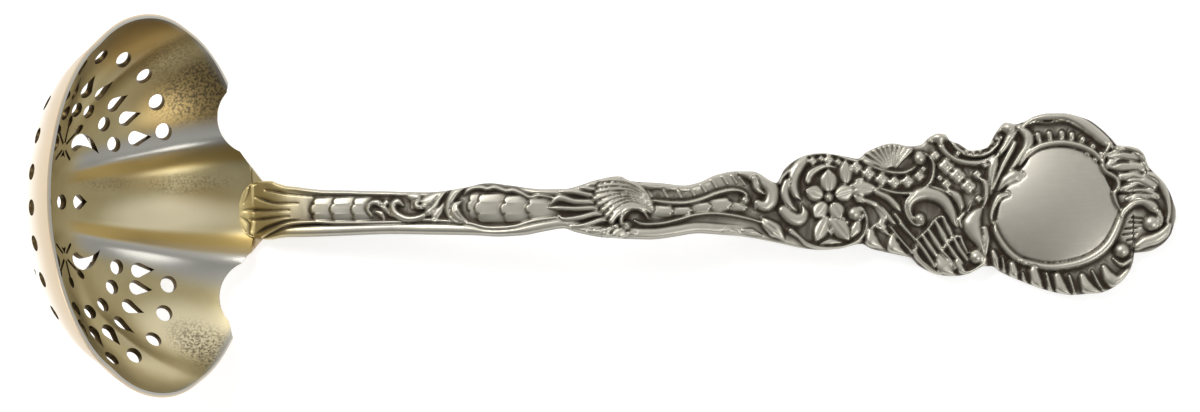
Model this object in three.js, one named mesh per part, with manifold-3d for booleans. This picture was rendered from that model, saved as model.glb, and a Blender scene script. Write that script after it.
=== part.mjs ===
// Sugar sifter spoon: a fluted bowl pressed from sheet silver and pierced all over,
// soldered by a lap joint to a die-struck handle with scroll, shell and flower relief.
// Millimetres. +X runs from the bowl to the handle tip and +Z is up. The spoon lies on
// its back, on the underside of the bowl and of the broad end of the handle.

import * as THREE from 'three';
import { mergeVertices } from 'three/addons/utils/BufferGeometryUtils.js';
import Module from 'manifold-3d';

const wasm = await Module();
wasm.setup();

const degrees = THREE.MathUtils.degToRad;

// Bowl: a dome with an oval rim, deepest a little in front of its middle
const bowlWall = 0.8;
const rimBackReach = 20.1;
const rimFrontReach = 22.8;
const rimHalfWidth = 23.7;
const bowlDepth = 13.4;
const poleSetback = 3.5;
const capAngle = degrees(75);
const bowlTilt = degrees(58.4);
const bowlRoll = degrees(0.8);
const bowlTurn = degrees(1.4);
const bowlCentreX = -53.8;
const bowlSideShift = 0.9;

// Flutes: a straight trough along the bowl, and three scallops on each side of it
const flutingCentre = 4.0;
const fluteHeight = 1.5;
const troughWaist = 3.6;
const troughFlare = 0.137;
const troughFloorShare = 0.5;
const sideCrestReach = 13.5;
const rimFadeStartShare = 0.62;
const rimFluteShare = 0.25;

// Root of the bowl: two round bites beside a narrow neck that flows into the stem
const biteRadius = 4.55;
const biteX = -44.05;
const biteSpread = 11.3;
const rootMiddleY = 1.05;
const cuspSetback = 1.85;
const cuspSpread = 7.1;
const neckControlSetback = 0.1;
const neckHalfWidth = 2.85;
const lapLength = 4.6;
const lapThickness = 0.73;
const lapOverlap = 0.2;
const lapHalfWidth = 4.2;
const trimReach = 12.0;

// Piercing
const roundHoleDiameter = 2.0;
const smallHoleDiameter = 1.75;
const dropLength = 3.1;
const dropWidth = 1.75;
const slitWidth = 0.42;
const outerRingRadius = 18.0;
const dropRingRadius = 15.1;
const smallRingRadius = 12.2;
const sunburstOffset = 7.2;
const sunburstSlitStart = 0.55;
const sunburstSlitLength = 2.1;
const innerSlitLength = 1.6;
const axisDropOffset = 3.6;

// Lap joint between the bowl and the handle
const seatGap = 0.3;
const solderThickness = 0.14;
const solderLength = 3.8;
const solderWidth = 4.4;

// Handle
const handleLength = 115.9;
const terminalWidth = 23.1;
const handleRootX = -43.1;
const tongueTipThickness = 0.55;
const stemThickness = 3.1;
const terminalThickness = 2.1;
const archHeight = 8.2;
const archCrestShare = 0.32;
const archLandShare = 0.8;
const stemEndShare = 0.28;
const terminalStartShare = 0.62;
const edgeRound = 0.55;
const crownHeight = 0.35;

// Relief on the handle
const reliefEmbed = 0.22;
const scrollHeight = 1.05;
const leafHeight = 0.85;
const lineHeight = 0.6;
const shellRibHeight = 1.1;
const beadHeight = 1.2;
const cartoucheRadius = 7.4;
const cartoucheRingWidth = 0.95;
const cartoucheRingHeight = 0.7;
const cartoucheLift = 0.2;

// Smoothness of the faceted surfaces
const holeSides = 8;
const smallHoleSides = 6;
const fewestStrandSteps = 2;
const ringSides = 24;
const evenStations = 12;
const stationPitchShare = 0.0085;

const silver = new THREE.MeshStandardMaterial({ color: 0xb3b0a9, roughness: 0.32, metalness: 1.0 });
const gilt = new THREE.MeshStandardMaterial({ color: 0xa8925c, roughness: 0.34, metalness: 1.0 });
const solderGrey = new THREE.MeshStandardMaterial({ color: 0x96938d, roughness: 0.5, metalness: 1.0 });

// Closed meshes to solids and back

function positionsOnly(geometry) {
  const bare = geometry.clone();
  bare.deleteAttribute('normal');
  bare.deleteAttribute('uv');
  return bare;
}

function toSolid(geometry) {
  const merged = mergeVertices(positionsOnly(geometry));
  const mesh = new wasm.Mesh({
    numProp: 3,
    vertProperties: new Float32Array(merged.attributes.position.array),
    triVerts: new Uint32Array(merged.index.array),
  });
  return new wasm.Manifold(mesh);
}

function toGeometry(solid) {
  const mesh = solid.getMesh();
  const geometry = new THREE.BufferGeometry();
  geometry.setAttribute('position', new THREE.BufferAttribute(new Float32Array(mesh.vertProperties), 3));
  geometry.setIndex(new THREE.BufferAttribute(new Uint32Array(mesh.triVerts), 1));
  geometry.computeVertexNormals();
  return geometry;
}

function closedGeometry(points, triangles) {
  const geometry = new THREE.BufferGeometry();
  const positions = points.flatMap((point) => [point.x, point.y, point.z]);
  geometry.setAttribute('position', new THREE.Float32BufferAttribute(positions, 3));
  geometry.setIndex(triangles.flat());
  return geometry;
}

// Rings of points, one after another, closed with a fan at each end

function loft(rings) {
  const sides = rings[0].length;
  const points = rings.flat();
  const triangles = [];
  for (let ring = 0; ring < rings.length - 1; ring += 1) {
    for (let side = 0; side < sides; side += 1) {
      const a = ring * sides + side;
      const b = ring * sides + (side + 1) % sides;
      triangles.push([a, b, b + sides], [a, b + sides, a + sides]);
    }
  }
  const last = (rings.length - 1) * sides;
  for (let side = 1; side < sides - 1; side += 1) {
    triangles.push([0, side + 1, side], [last, last + side, last + side + 1]);
  }
  return closedGeometry(points, triangles);
}

// Bowl surface, in the bowl's own frame: x towards the handle in the rim plane, z out of the mouth

function domeDrop(share) {
  const angle = Math.asin(Math.min(1, share * Math.sin(capAngle)));
  return bowlDepth * (Math.cos(angle) - Math.cos(capAngle)) / (1 - Math.cos(capAngle));
}

function ringPoint(share, theta) {
  const reach = Math.cos(theta) > 0 ? rimBackReach : rimFrontReach;
  const x = share * reach * Math.cos(theta) - poleSetback * (1 - share);
  return new THREE.Vector2(x, share * rimHalfWidth * Math.sin(theta));
}

function bisect(test, low, high) {
  let under = low;
  let over = high;
  for (let step = 0; step < 40; step += 1) {
    const middle = (under + over) / 2;
    if (test(middle)) under = middle;
    else over = middle;
  }
  return (under + over) / 2;
}

// Share of the way from the deepest point to the rim

function rimShare(x, y) {
  const outside = (share) => {
    const along = x + poleSetback * (1 - share);
    const reach = along > 0 ? rimBackReach : rimFrontReach;
    return Math.hypot(along / reach, y / rimHalfWidth) > share;
  };
  return bisect(outside, 0, 2);
}

function troughCrest(along) {
  return troughWaist + troughFlare * Math.abs(along);
}

function sideCrest(across) {
  return sideCrestReach * (across / rimHalfWidth) ** 3;
}

// The flutes lift the wall towards the mouth along each crest

function fluteLift(x, y) {
  const along = x + flutingCentre;
  const across = Math.abs(y);
  const pastTrough = across - troughCrest(along);
  const pastSide = Math.abs(along) - sideCrest(across);
  const fade = THREE.MathUtils.smoothstep(rimShare(x, y), rimFadeStartShare, 1);
  const faded = 1 - (1 - rimFluteShare) * fade;
  const troughHeight = along > 0 ? 1 : faded;
  if (pastTrough <= 0) {
    const part = across / troughCrest(along);
    const flank = Math.max(0, (part - troughFloorShare) / (1 - troughFloorShare));
    return fluteHeight * troughHeight * flank ** 1.5;
  }
  if (pastSide <= 0) {
    const part = Math.abs(along) / sideCrest(across);
    return fluteHeight * faded * part ** 2;
  }
  const part = pastTrough / (pastTrough + pastSide);
  const height = THREE.MathUtils.lerp(troughHeight, faded, part);
  return fluteHeight * height * (2 * part - 1) ** 2;
}

function domePoint(x, y) {
  return new THREE.Vector3(x, y, -domeDrop(rimShare(x, y)));
}

function domeNormal(x, y) {
  const probe = rimHalfWidth / 2000;
  const inX = domePoint(x, y).sub(domePoint(x - probe, y));
  const inY = domePoint(x, y + probe).sub(domePoint(x, y - probe));
  return inX.cross(inY).normalize();
}

function pressedPoint(x, y, lift) {
  return domePoint(x, y).addScaledVector(domeNormal(x, y), fluteLift(x, y) + lift);
}

// Angles round one ring, with lines along every crest

const ringShares = [0.14, 0.32, 0.5, 0.68, 0.85, 1];
const troughStepShares = [0, 0.5, 0.78];
const innerCrestShare = 0.2;

function crestAngles(share) {
  const place = (theta) => {
    const point = ringPoint(share, theta);
    return [point.x + flutingCentre, Math.abs(point.y)];
  };
  const middle = bisect((theta) => place(theta)[0] > 0, 0, Math.PI);
  const inTrough = (theta) => place(theta)[1] < troughCrest(place(theta)[0]);
  const beyondSide = (sign) => (theta) => sign * place(theta)[0] > sideCrest(place(theta)[1]);
  return [
    bisect(inTrough, 0, middle),
    bisect(beyondSide(1), 0, middle),
    bisect((theta) => !beyondSide(-1)(theta), middle, Math.PI),
    bisect((theta) => !inTrough(theta), middle, Math.PI),
  ];
}

function ringAngles(share) {
  const [backTrough, backSide, frontSide, frontTrough] = crestAngles(Math.max(share, innerCrestShare));
  const half = troughStepShares.map((part) => part * backTrough);
  const spans = [[backTrough, backSide, 6], [backSide, frontSide, 4], [frontSide, frontTrough, 4]];
  for (const [from, to, count] of spans) {
    for (let step = 0; step < count; step += 1) half.push(from + (to - from) * step / count);
  }
  for (const part of [...troughStepShares].reverse()) half.push(Math.PI - part * (Math.PI - frontTrough));
  half.splice(half.indexOf(Math.PI - troughStepShares[2] * (Math.PI - frontTrough)), 0, frontTrough);
  const other = half.slice(1, -1).reverse().map((theta) => 2 * Math.PI - theta);
  return [...half, ...other];
}

// The pressed wall between two lifts above the inner face

function pressedShell(innerLift, outerLift) {
  const skins = [innerLift, outerLift].map((lift) => {
    const rings = ringShares.map((share) => ringAngles(share).map((theta) => {
      const point = ringPoint(share, theta);
      return pressedPoint(point.x, point.y, lift);
    }));
    return { pole: pressedPoint(-poleSetback, 0, lift), rings };
  });
  const sides = skins[0].rings[0].length;
  const points = skins.flatMap((skin) => [skin.pole, ...skin.rings.flat()]);
  const skinSize = 1 + ringShares.length * sides;
  const triangles = [];
  const at = (skin, ring, side) => skin * skinSize + 1 + ring * sides + side % sides;
  for (let skin = 0; skin < 2; skin += 1) {
    const face = (a, b, c) => triangles.push(skin === 0 ? [a, b, c] : [a, c, b]);
    for (let side = 0; side < sides; side += 1) {
      face(skin * skinSize, at(skin, 0, side), at(skin, 0, side + 1));
      for (let ring = 0; ring < ringShares.length - 1; ring += 1) {
        face(at(skin, ring, side), at(skin, ring + 1, side), at(skin, ring + 1, side + 1));
        face(at(skin, ring, side), at(skin, ring + 1, side + 1), at(skin, ring, side + 1));
      }
    }
  }
  const rim = ringShares.length - 1;
  for (let side = 0; side < sides; side += 1) {
    triangles.push([at(0, rim, side), at(1, rim, side), at(1, rim, side + 1)]);
    triangles.push([at(0, rim, side), at(1, rim, side + 1), at(0, rim, side + 1)]);
  }
  return closedGeometry(points, triangles);
}

// Punches for the piercing, each square to the wall where it cuts

const patternCentre = new THREE.Vector2(-flutingCentre, 0);
const punchReach = fluteHeight + 2 * bowlWall;

function punchPlace(x, y, outward) {
  const up = domeNormal(x, y);
  const along = new THREE.Vector3(outward.x, outward.y, 0);
  along.addScaledVector(up, -along.dot(up)).normalize();
  const across = new THREE.Vector3().crossVectors(up, along);
  const place = new THREE.Matrix4().makeBasis(along, across, up);
  return place.setPosition(domePoint(x, y));
}

function punch(shape, x, y, outward) {
  const options = { depth: 2 * punchReach, bevelEnabled: false, curveSegments: holeSides / 4 };
  const tool = new THREE.ExtrudeGeometry(shape, options);
  tool.translate(0, 0, -punchReach);
  return toSolid(tool.applyMatrix4(punchPlace(x, y, outward)));
}

function roundShape(diameter, sides) {
  const shape = new THREE.Shape();
  for (let side = 0; side < sides; side += 1) {
    const angle = 2 * Math.PI * side / sides;
    const point = [Math.cos(angle) * diameter / 2, Math.sin(angle) * diameter / 2];
    if (side === 0) shape.moveTo(...point);
    else shape.lineTo(...point);
  }
  return shape.closePath();
}

// A drop with its round head inwards and its point towards the rim

function dropShape(length, width) {
  const shape = new THREE.Shape();
  const head = width / 2 - length / 2;
  shape.moveTo(length / 2, 0);
  for (const angle of [80, 145, 215, 280]) {
    const turn = degrees(angle);
    shape.lineTo(head + Math.cos(turn) * width / 2, Math.sin(turn) * width / 2);
  }
  return shape.closePath();
}

// A slit that runs out into a small oval hole

function pinShape() {
  const neck = sunburstSlitLength;
  const hole = smallHoleDiameter / 2;
  const shape = new THREE.Shape();
  shape.moveTo(0, -slitWidth / 2);
  shape.lineTo(neck, -slitWidth / 2);
  for (const angle of [-90, 0, 90]) {
    const turn = degrees(angle);
    shape.lineTo(neck + hole * (1 + Math.cos(turn)), Math.sin(turn) * hole / 2);
  }
  shape.lineTo(neck, slitWidth / 2);
  shape.lineTo(0, slitWidth / 2);
  return shape.closePath();
}

function slitShape(length) {
  const shape = new THREE.Shape();
  shape.moveTo(0, -slitWidth / 2);
  shape.lineTo(length, -slitWidth / 2);
  shape.lineTo(length, slitWidth / 2);
  shape.lineTo(0, slitWidth / 2);
  return shape.closePath();
}

// A comma with a thick rounded foot beside the sunburst and a thin tip towards the rim

function crescentShape(side) {
  const size = sunburstOffset;
  const shape = new THREE.Shape();
  shape.moveTo(-0.1 * size, side * 0.22 * size);
  shape.quadraticCurveTo(0.22 * size, side * 0.24 * size, 0.2 * size, side * 0.52 * size);
  shape.quadraticCurveTo(0.16 * size, side * 0.78 * size, -0.16 * size, side * 0.88 * size);
  shape.quadraticCurveTo(0.06 * size, side * 0.6 * size, 0.03 * size, side * 0.46 * size);
  shape.lineTo(-0.13 * size, side * 0.37 * size);
  return shape.closePath();
}

function pendantShape() {
  const size = sunburstOffset;
  const shape = new THREE.Shape();
  shape.moveTo(-0.05 * size, 0);
  shape.lineTo(-0.19 * size, 0.07 * size);
  shape.lineTo(-0.15 * size, 0);
  shape.lineTo(-0.19 * size, -0.07 * size);
  return shape.closePath();
}

function radialPunch(shape, radius, angle) {
  const outward = new THREE.Vector2(Math.cos(angle), Math.sin(angle));
  const place = patternCentre.clone().addScaledVector(outward, radius);
  return punch(shape, place.x, place.y, outward);
}

// Each ring on one side: degrees from the handle, then share of the ring's mean radius

const outerRingShares = [
  [33, 0.99], [46, 1.03], [60, 1.05], [74, 1.055], [89, 1.035],
  [104, 1.01], [119, 0.985], [133, 0.955], [149, 0.93], [165, 0.915],
];
const dropRingShares = [
  [37, 0.95], [48, 0.98], [59, 1.01], [70, 1.03], [80.5, 1.03], [91.5, 1.02],
  [102.5, 1.01], [113.5, 0.99], [124.5, 0.97], [135.5, 0.95], [146.5, 0.93],
];
const smallRingShares = [
  [43.5, 0.92], [59, 0.975], [73.5, 1.015], [88, 1.01],
  [102, 1], [116, 0.97], [130, 0.94], [144, 0.9],
];

function outerRing() {
  const hole = roundShape(roundHoleDiameter, holeSides);
  const punches = [radialPunch(hole, outerRingRadius * outerRingShares.at(-1)[1], Math.PI)];
  for (const [angle, share] of outerRingShares) {
    punches.push(radialPunch(hole, outerRingRadius * share, degrees(angle)));
    punches.push(radialPunch(hole, outerRingRadius * share, -degrees(angle)));
  }
  return punches;
}

// The drops point away from the sunburst on their side

function sideRings(side) {
  const burst = patternCentre.clone().setY(side * sunburstOffset);
  const punches = [];
  for (const [angle, share] of dropRingShares) {
    const turn = side * degrees(angle);
    const place = new THREE.Vector2(Math.cos(turn), Math.sin(turn));
    place.multiplyScalar(dropRingRadius * share).add(patternCentre);
    const outward = place.clone().sub(burst).normalize();
    punches.push(punch(dropShape(dropLength, dropWidth), place.x, place.y, outward));
  }
  for (const [angle, share] of smallRingShares) {
    const hole = roundShape(smallHoleDiameter, smallHoleSides);
    punches.push(radialPunch(hole, smallRingRadius * share, side * degrees(angle)));
  }
  return punches;
}

// A sunburst: three slits outwards, each under a drop, two slits inwards, a pendant and two commas

function sunburst(side) {
  const outward = new THREE.Vector2(0, side);
  const centre = patternCentre.clone().addScaledVector(outward, sunburstOffset);
  const punches = [];
  for (const turn of [-45, 0, 45, 135, 225]) {
    const ray = outward.clone().rotateAround(new THREE.Vector2(), degrees(turn));
    const start = centre.clone().addScaledVector(ray, sunburstSlitStart);
    const shape = Math.abs(turn) <= 45 ? pinShape() : slitShape(innerSlitLength);
    punches.push(punch(shape, start.x, start.y, ray));
  }
  punches.push(punch(pendantShape(), centre.x, centre.y, outward));
  punches.push(punch(crescentShape(1), centre.x, centre.y, outward));
  punches.push(punch(crescentShape(-1), centre.x, centre.y, outward));
  return punches;
}

function axisHoles() {
  const drop = dropShape(dropWidth + smallHoleDiameter / 3, smallHoleDiameter);
  return [
    punch(roundShape(smallHoleDiameter, holeSides), patternCentre.x, 0, new THREE.Vector2(1, 0)),
    radialPunch(drop, axisDropOffset, 0),
    radialPunch(drop, axisDropOffset, Math.PI),
  ];
}

// The bowl stands on its lowest point, leaning a little to one side

function bowlPlacement(shell) {
  const place = new THREE.Matrix4().makeRotationZ(bowlTurn);
  place.multiply(new THREE.Matrix4().makeRotationX(bowlRoll));
  place.multiply(new THREE.Matrix4().makeRotationY(bowlTilt));
  const lowest = shell.clone().applyMatrix4(place);
  lowest.computeBoundingBox();
  return place.setPosition(bowlCentreX, bowlSideShift, -lowest.boundingBox.min.z);
}

const plainShell = pressedShell(0, -bowlWall);
const bowlPlace = bowlPlacement(plainShell);

// The lap plane touches the inner face of the bowl at the middle of its back rim

const lapPoint = pressedPoint(rimBackReach, 0, 0).applyMatrix4(bowlPlace);
const lapUp = domeNormal(rimBackReach, 0).transformDirection(bowlPlace).setY(0).normalize();
const lapAcross = new THREE.Vector3(0, 1, 0);
const lapAlong = new THREE.Vector3().crossVectors(lapAcross, lapUp);
const lapPlace = new THREE.Matrix4().makeBasis(lapAlong, lapAcross, lapUp);
lapPlace.setPosition(lapPoint.x, 0, lapPoint.z);

function lapSlab(length, halfWidth, bottom, top, start) {
  const slab = new THREE.BoxGeometry(length, 2 * halfWidth, top - bottom);
  slab.translate(start + length / 2, 0, (top + bottom) / 2);
  return slab.applyMatrix4(lapPlace);
}

// What the root cuts away on one side: outside the neck, and one round bite

function rootTrim(side) {
  const end = lapPoint.x + lapLength + bowlWall;
  const middle = side * rootMiddleY;
  const cuspX = biteX - cuspSetback;
  const cuspY = cuspSpread + middle;
  const biteY = biteSpread + middle;
  const fromCusp = Math.atan2(cuspY - biteY, cuspX - biteX);
  const fromTop = degrees(136);
  const shape = new THREE.Shape();
  shape.moveTo(end, neckHalfWidth);
  shape.lineTo(end - bowlWall - biteRadius / 5, neckHalfWidth);
  shape.quadraticCurveTo(biteX - neckControlSetback, neckHalfWidth, cuspX, cuspY);
  shape.absarc(biteX, biteY, biteRadius, fromCusp, fromTop, true);
  shape.lineTo(biteX, biteY + biteRadius + trimReach);
  shape.lineTo(end, biteY + biteRadius + trimReach);
  shape.closePath();
  const height = rimHalfWidth * 2;
  const trim = new THREE.ExtrudeGeometry(shape, { depth: height, bevelEnabled: false, curveSegments: 8 });
  trim.translate(0, 0, -height / 2);
  if (side < 0) trim.rotateX(Math.PI);
  return toSolid(trim);
}

function bowlSolid() {
  let bowl = toSolid(plainShell);
  const punches = [
    ...outerRing(), ...sideRings(1), ...sideRings(-1), ...sunburst(1), ...sunburst(-1), ...axisHoles(),
  ];
  for (const tool of punches) bowl = bowl.subtract(tool);
  bowl = toSolid(toGeometry(bowl).applyMatrix4(bowlPlace));
  const tab = lapSlab(lapLength + lapOverlap, lapHalfWidth, -lapThickness, 0, -lapOverlap);
  bowl = bowl.add(toSolid(tab));
  return bowl.subtract(rootTrim(1)).subtract(rootTrim(-1));
}

// Handle outline: share of the handle's length, then share of the terminal's width

const upperEdgeShares = [
  [0, 0.119], [0.02, 0.112], [0.038, 0.123], [0.084, 0.119], [0.134, 0.115], [0.186, 0.106],
  [0.22, 0.123], [0.249, 0.149], [0.27, 0.136], [0.311, 0.11], [0.332, 0.11], [0.348, 0.128],
  [0.364, 0.154], [0.391, 0.175], [0.404, 0.149], [0.437, 0.141], [0.477, 0.149], [0.496, 0.18],
  [0.517, 0.193], [0.537, 0.184], [0.562, 0.136], [0.572, 0.214], [0.583, 0.258], [0.594, 0.284],
  [0.61, 0.297], [0.638, 0.279], [0.652, 0.266], [0.663, 0.305], [0.69, 0.348], [0.711, 0.318],
  [0.722, 0.314], [0.733, 0.374], [0.741, 0.4], [0.749, 0.396], [0.754, 0.361], [0.764, 0.323],
  [0.777, 0.305], [0.788, 0.31], [0.797, 0.331], [0.803, 0.37], [0.809, 0.418], [0.815, 0.457],
  [0.826, 0.448], [0.836, 0.461], [0.848, 0.491], [0.862, 0.504], [0.878, 0.504], [0.892, 0.491],
  [0.907, 0.465], [0.921, 0.413], [0.932, 0.357], [0.938, 0.323], [0.948, 0.318], [0.959, 0.305],
  [0.966, 0.275], [0.97, 0.216], [0.979, 0.162], [0.988, 0.115], [0.994, 0.065], [1, -0.024],
];
const lowerEdgeShares = [
  [0, -0.119], [0.02, -0.112], [0.038, -0.123], [0.084, -0.119], [0.134, -0.115], [0.185, -0.123],
  [0.234, -0.132], [0.26, -0.141], [0.286, -0.136], [0.311, -0.115], [0.33, -0.102], [0.343, -0.123],
  [0.373, -0.154], [0.426, -0.167], [0.449, -0.154], [0.476, -0.136], [0.502, -0.145], [0.523, -0.154],
  [0.556, -0.184], [0.592, -0.223], [0.611, -0.232], [0.629, -0.227], [0.655, -0.201], [0.666, -0.227],
  [0.691, -0.258], [0.709, -0.279], [0.718, -0.323], [0.73, -0.357], [0.739, -0.374], [0.757, -0.383],
  [0.771, -0.374], [0.782, -0.348], [0.79, -0.331], [0.798, -0.331], [0.809, -0.366], [0.834, -0.422],
  [0.852, -0.457], [0.87, -0.483], [0.886, -0.496], [0.901, -0.491], [0.915, -0.487], [0.928, -0.465],
  [0.939, -0.426], [0.948, -0.374], [0.953, -0.314], [0.954, -0.271], [0.97, -0.262], [0.983, -0.232],
  [0.994, -0.175], [1, -0.09],
];
const tongueShares = [[-0.026, 0.055], [-0.021, 0.125], [-0.012, 0.155]];

function edgeAt(table, share) {
  const next = table.findIndex((entry) => entry[0] >= share);
  if (next <= 0) return table.at(next)[1];
  const [fromShare, from] = table[next - 1];
  const [toShare, to] = table[next];
  return THREE.MathUtils.mapLinear(share, fromShare, toShare, from, to);
}

function handleX(share) {
  return handleRootX + share * handleLength;
}

function shareAt(x) {
  return (x - handleRootX) / handleLength;
}

// Underside of the handle: along the lap plane, up over the arch, and down to the table

function hermite(x, from, to) {
  const span = to.x - from.x;
  const part = (x - from.x) / span;
  const square = part * part;
  const cube = square * part;
  return (2 * cube - 3 * square + 1) * from.z + (cube - 2 * square + part) * span * from.slope
    + (3 * square - 2 * cube) * to.z + (cube - square) * span * to.slope;
}

const lapSlope = lapAlong.z / lapAlong.x;
const lapBase = { x: lapPoint.x, z: lapPoint.z - bowlWall / lapUp.z, slope: lapSlope };
const archCrest = { x: handleX(archCrestShare), z: archHeight, slope: 0 };
const archLand = { x: handleX(archLandShare), z: 0, slope: 0 };

function undersideAt(x) {
  if (x <= lapBase.x) return lapBase.z + (x - lapBase.x) * lapSlope;
  if (x <= archCrest.x) return hermite(x, lapBase, archCrest);
  if (x <= archLand.x) return hermite(x, archCrest, archLand);
  return 0;
}

function thicknessAt(x) {
  const part = THREE.MathUtils.smoothstep(shareAt(x), stemEndShare, terminalStartShare);
  return THREE.MathUtils.lerp(stemThickness, terminalThickness, part);
}

function topAt(x) {
  return undersideAt(x) + thicknessAt(x);
}

// Height of the bowl's inner floor under the tongue, on the handle's centre line

function floorAt(x) {
  const backX = (local) => pressedPoint(local, 0, 0).applyMatrix4(bowlPlace);
  const local = bisect((reach) => backX(reach).x < x, 0, rimBackReach);
  return backX(local).z;
}

function handleRing(x, low, high, bottom, top) {
  const inset = Math.min(edgeRound, (high - low) / 5);
  const rise = Math.min(edgeRound, (top - bottom) / 3);
  const crown = Math.min(crownHeight, (top - bottom) / 4);
  const at = (y, z) => new THREE.Vector3(x, y, z);
  return [
    at(low + inset, bottom), at(high - inset, bottom), at(high, bottom + rise), at(high, top - rise - crown),
    at(high - inset, top - crown), at((low + high) / 2, top), at(low + inset, top - crown),
    at(low, top - rise - crown), at(low, bottom + rise),
  ];
}

function handleStations() {
  const edges = [...upperEdgeShares, ...lowerEdgeShares].map((entry) => entry[0]);
  const even = Array.from({ length: evenStations }, (_, step) => step / evenStations);
  const shares = [...edges, ...even].sort((a, b) => b - a);
  const kept = [];
  for (const share of shares) {
    if (kept.length === 0 || kept.at(-1) - share > stationPitchShare) kept.push(share);
  }
  return kept.reverse();
}

function handleBlank() {
  const rings = [];
  for (const [share, half] of tongueShares) {
    const x = handleX(share);
    const floor = floorAt(x);
    const rise = (share - tongueShares[0][0]) / (0 - tongueShares[0][0]);
    const tip = floor + seatGap + tongueTipThickness;
    const top = THREE.MathUtils.lerp(tip, topAt(handleX(0)), rise ** 1.5);
    const reach = half * terminalWidth;
    rings.push(handleRing(x, -reach, reach, floor - bowlWall / 4, top));
  }
  for (const share of handleStations()) {
    const x = handleX(share);
    const high = edgeAt(upperEdgeShares, share) * terminalWidth;
    const low = edgeAt(lowerEdgeShares, share) * terminalWidth;
    rings.push(handleRing(x, low, high, undersideAt(x), topAt(x)));
  }
  return toSolid(loft(rings));
}

// The top of the blank falls away on both sides of its middle

function groundAt(x, y) {
  const share = shareAt(x);
  const high = edgeAt(upperEdgeShares, share) * terminalWidth;
  const low = edgeAt(lowerEdgeShares, share) * terminalWidth;
  const reach = Math.abs(y - (high + low) / 2) / ((high - low) / 2 - edgeRound);
  return topAt(x) - crownHeight * Math.min(1, reach);
}

// Relief is shaped on a flat sheet at height zero and then laid over the top of the handle

function laid(geometry, ground = groundAt) {
  const position = geometry.attributes.position;
  for (let at = 0; at < position.count; at += 1) {
    position.setZ(at, position.getZ(at) + ground(position.getX(at), position.getY(at)));
  }
  return toSolid(geometry);
}

// Each section of the relief is drawn on a fine grid: its start along the handle, its top edge
// and its pitch are shares of the handle's length and of the terminal's width

const rootGrid = { startShare: -0.0295, topShare: 0.271, alongShare: 0.0001396, acrossShare: 0.0007 };
const stemGrid = { startShare: 0.1783, topShare: 0.2587, alongShare: 0.0001396, acrossShare: 0.0007 };
const knotGrid = { startShare: 0.3698, topShare: 0.3297, alongShare: 0.0001326, acrossShare: 0.000665 };
const bloomGrid = { startShare: 0.5394, topShare: 0.4843, alongShare: 0.0001256, acrossShare: 0.00063 };
const fanGrid = { startShare: 0.698, topShare: 0.5847, alongShare: 0.0001465, acrossShare: 0.000735 };
const panelGrid = { startShare: 0.8403, topShare: 0.5214, alongShare: 0.0001396, acrossShare: 0.0007 };
const gridTilt = 0.0118;

function gridPoint(grid, [along, down]) {
  const x = handleX(grid.startShare + grid.alongShare * along);
  const y = (grid.topShare - grid.acrossShare * (down + gridTilt * along)) * terminalWidth;
  return new THREE.Vector2(x, y);
}

function gridWidth(grid, width) {
  return grid.acrossShare * width * terminalWidth;
}

function widthAlong(widths, part) {
  const place = part * (widths.length - 1);
  const before = Math.min(Math.floor(place), widths.length - 2);
  return THREE.MathUtils.lerp(widths[before], widths[before + 1], place - before);
}

// A raised strand along a smooth line of places, as wide at each as its own width says

function strand(grid, places, widths, height) {
  const line = new THREE.SplineCurve(places.map((place) => gridPoint(grid, place)));
  const widest = Math.max(...widths);
  const steps = Math.max(fewestStrandSteps, places.length - 1);
  const rings = [];
  for (let step = 0; step <= steps; step += 1) {
    const part = step / steps;
    const point = line.getPoint(part);
    const ahead = line.getTangent(part);
    const side = new THREE.Vector2(-ahead.y, ahead.x);
    const width = widthAlong(widths, part);
    const half = gridWidth(grid, width) / 2;
    const tall = height * Math.sqrt(width / widest);
    const at = (offset, z) => new THREE.Vector3(point.x + side.x * offset, point.y + side.y * offset, z);
    rings.push([at(half, -reliefEmbed), at(0, tall), at(-half, -reliefEmbed)]);
  }
  return laid(loft(rings));
}

// A leaf, petal or knob: half an egg, broad at one end, pointing along its angle

function leaf(middle, angle, length, width, height) {
  const form = new THREE.SphereGeometry(1, 6, 4);
  form.rotateX(Math.PI / 2);
  const position = form.attributes.position;
  for (let at = 0; at < position.count; at += 1) {
    const part = position.getX(at);
    position.setY(at, position.getY(at) * (1 + 0.35 * part));
  }
  form.scale(length / 2, width / 2, height);
  form.rotateZ(angle);
  form.translate(middle.x, middle.y, 0);
  return laid(form);
}

function leafBetween(grid, from, to, width) {
  const start = gridPoint(grid, from);
  const ahead = gridPoint(grid, to).sub(start);
  const middle = start.addScaledVector(ahead, 0.5);
  return leaf(middle, ahead.angle(), ahead.length(), gridWidth(grid, width), leafHeight);
}

// Strands: places on the section's grid, then the width at each

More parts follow.
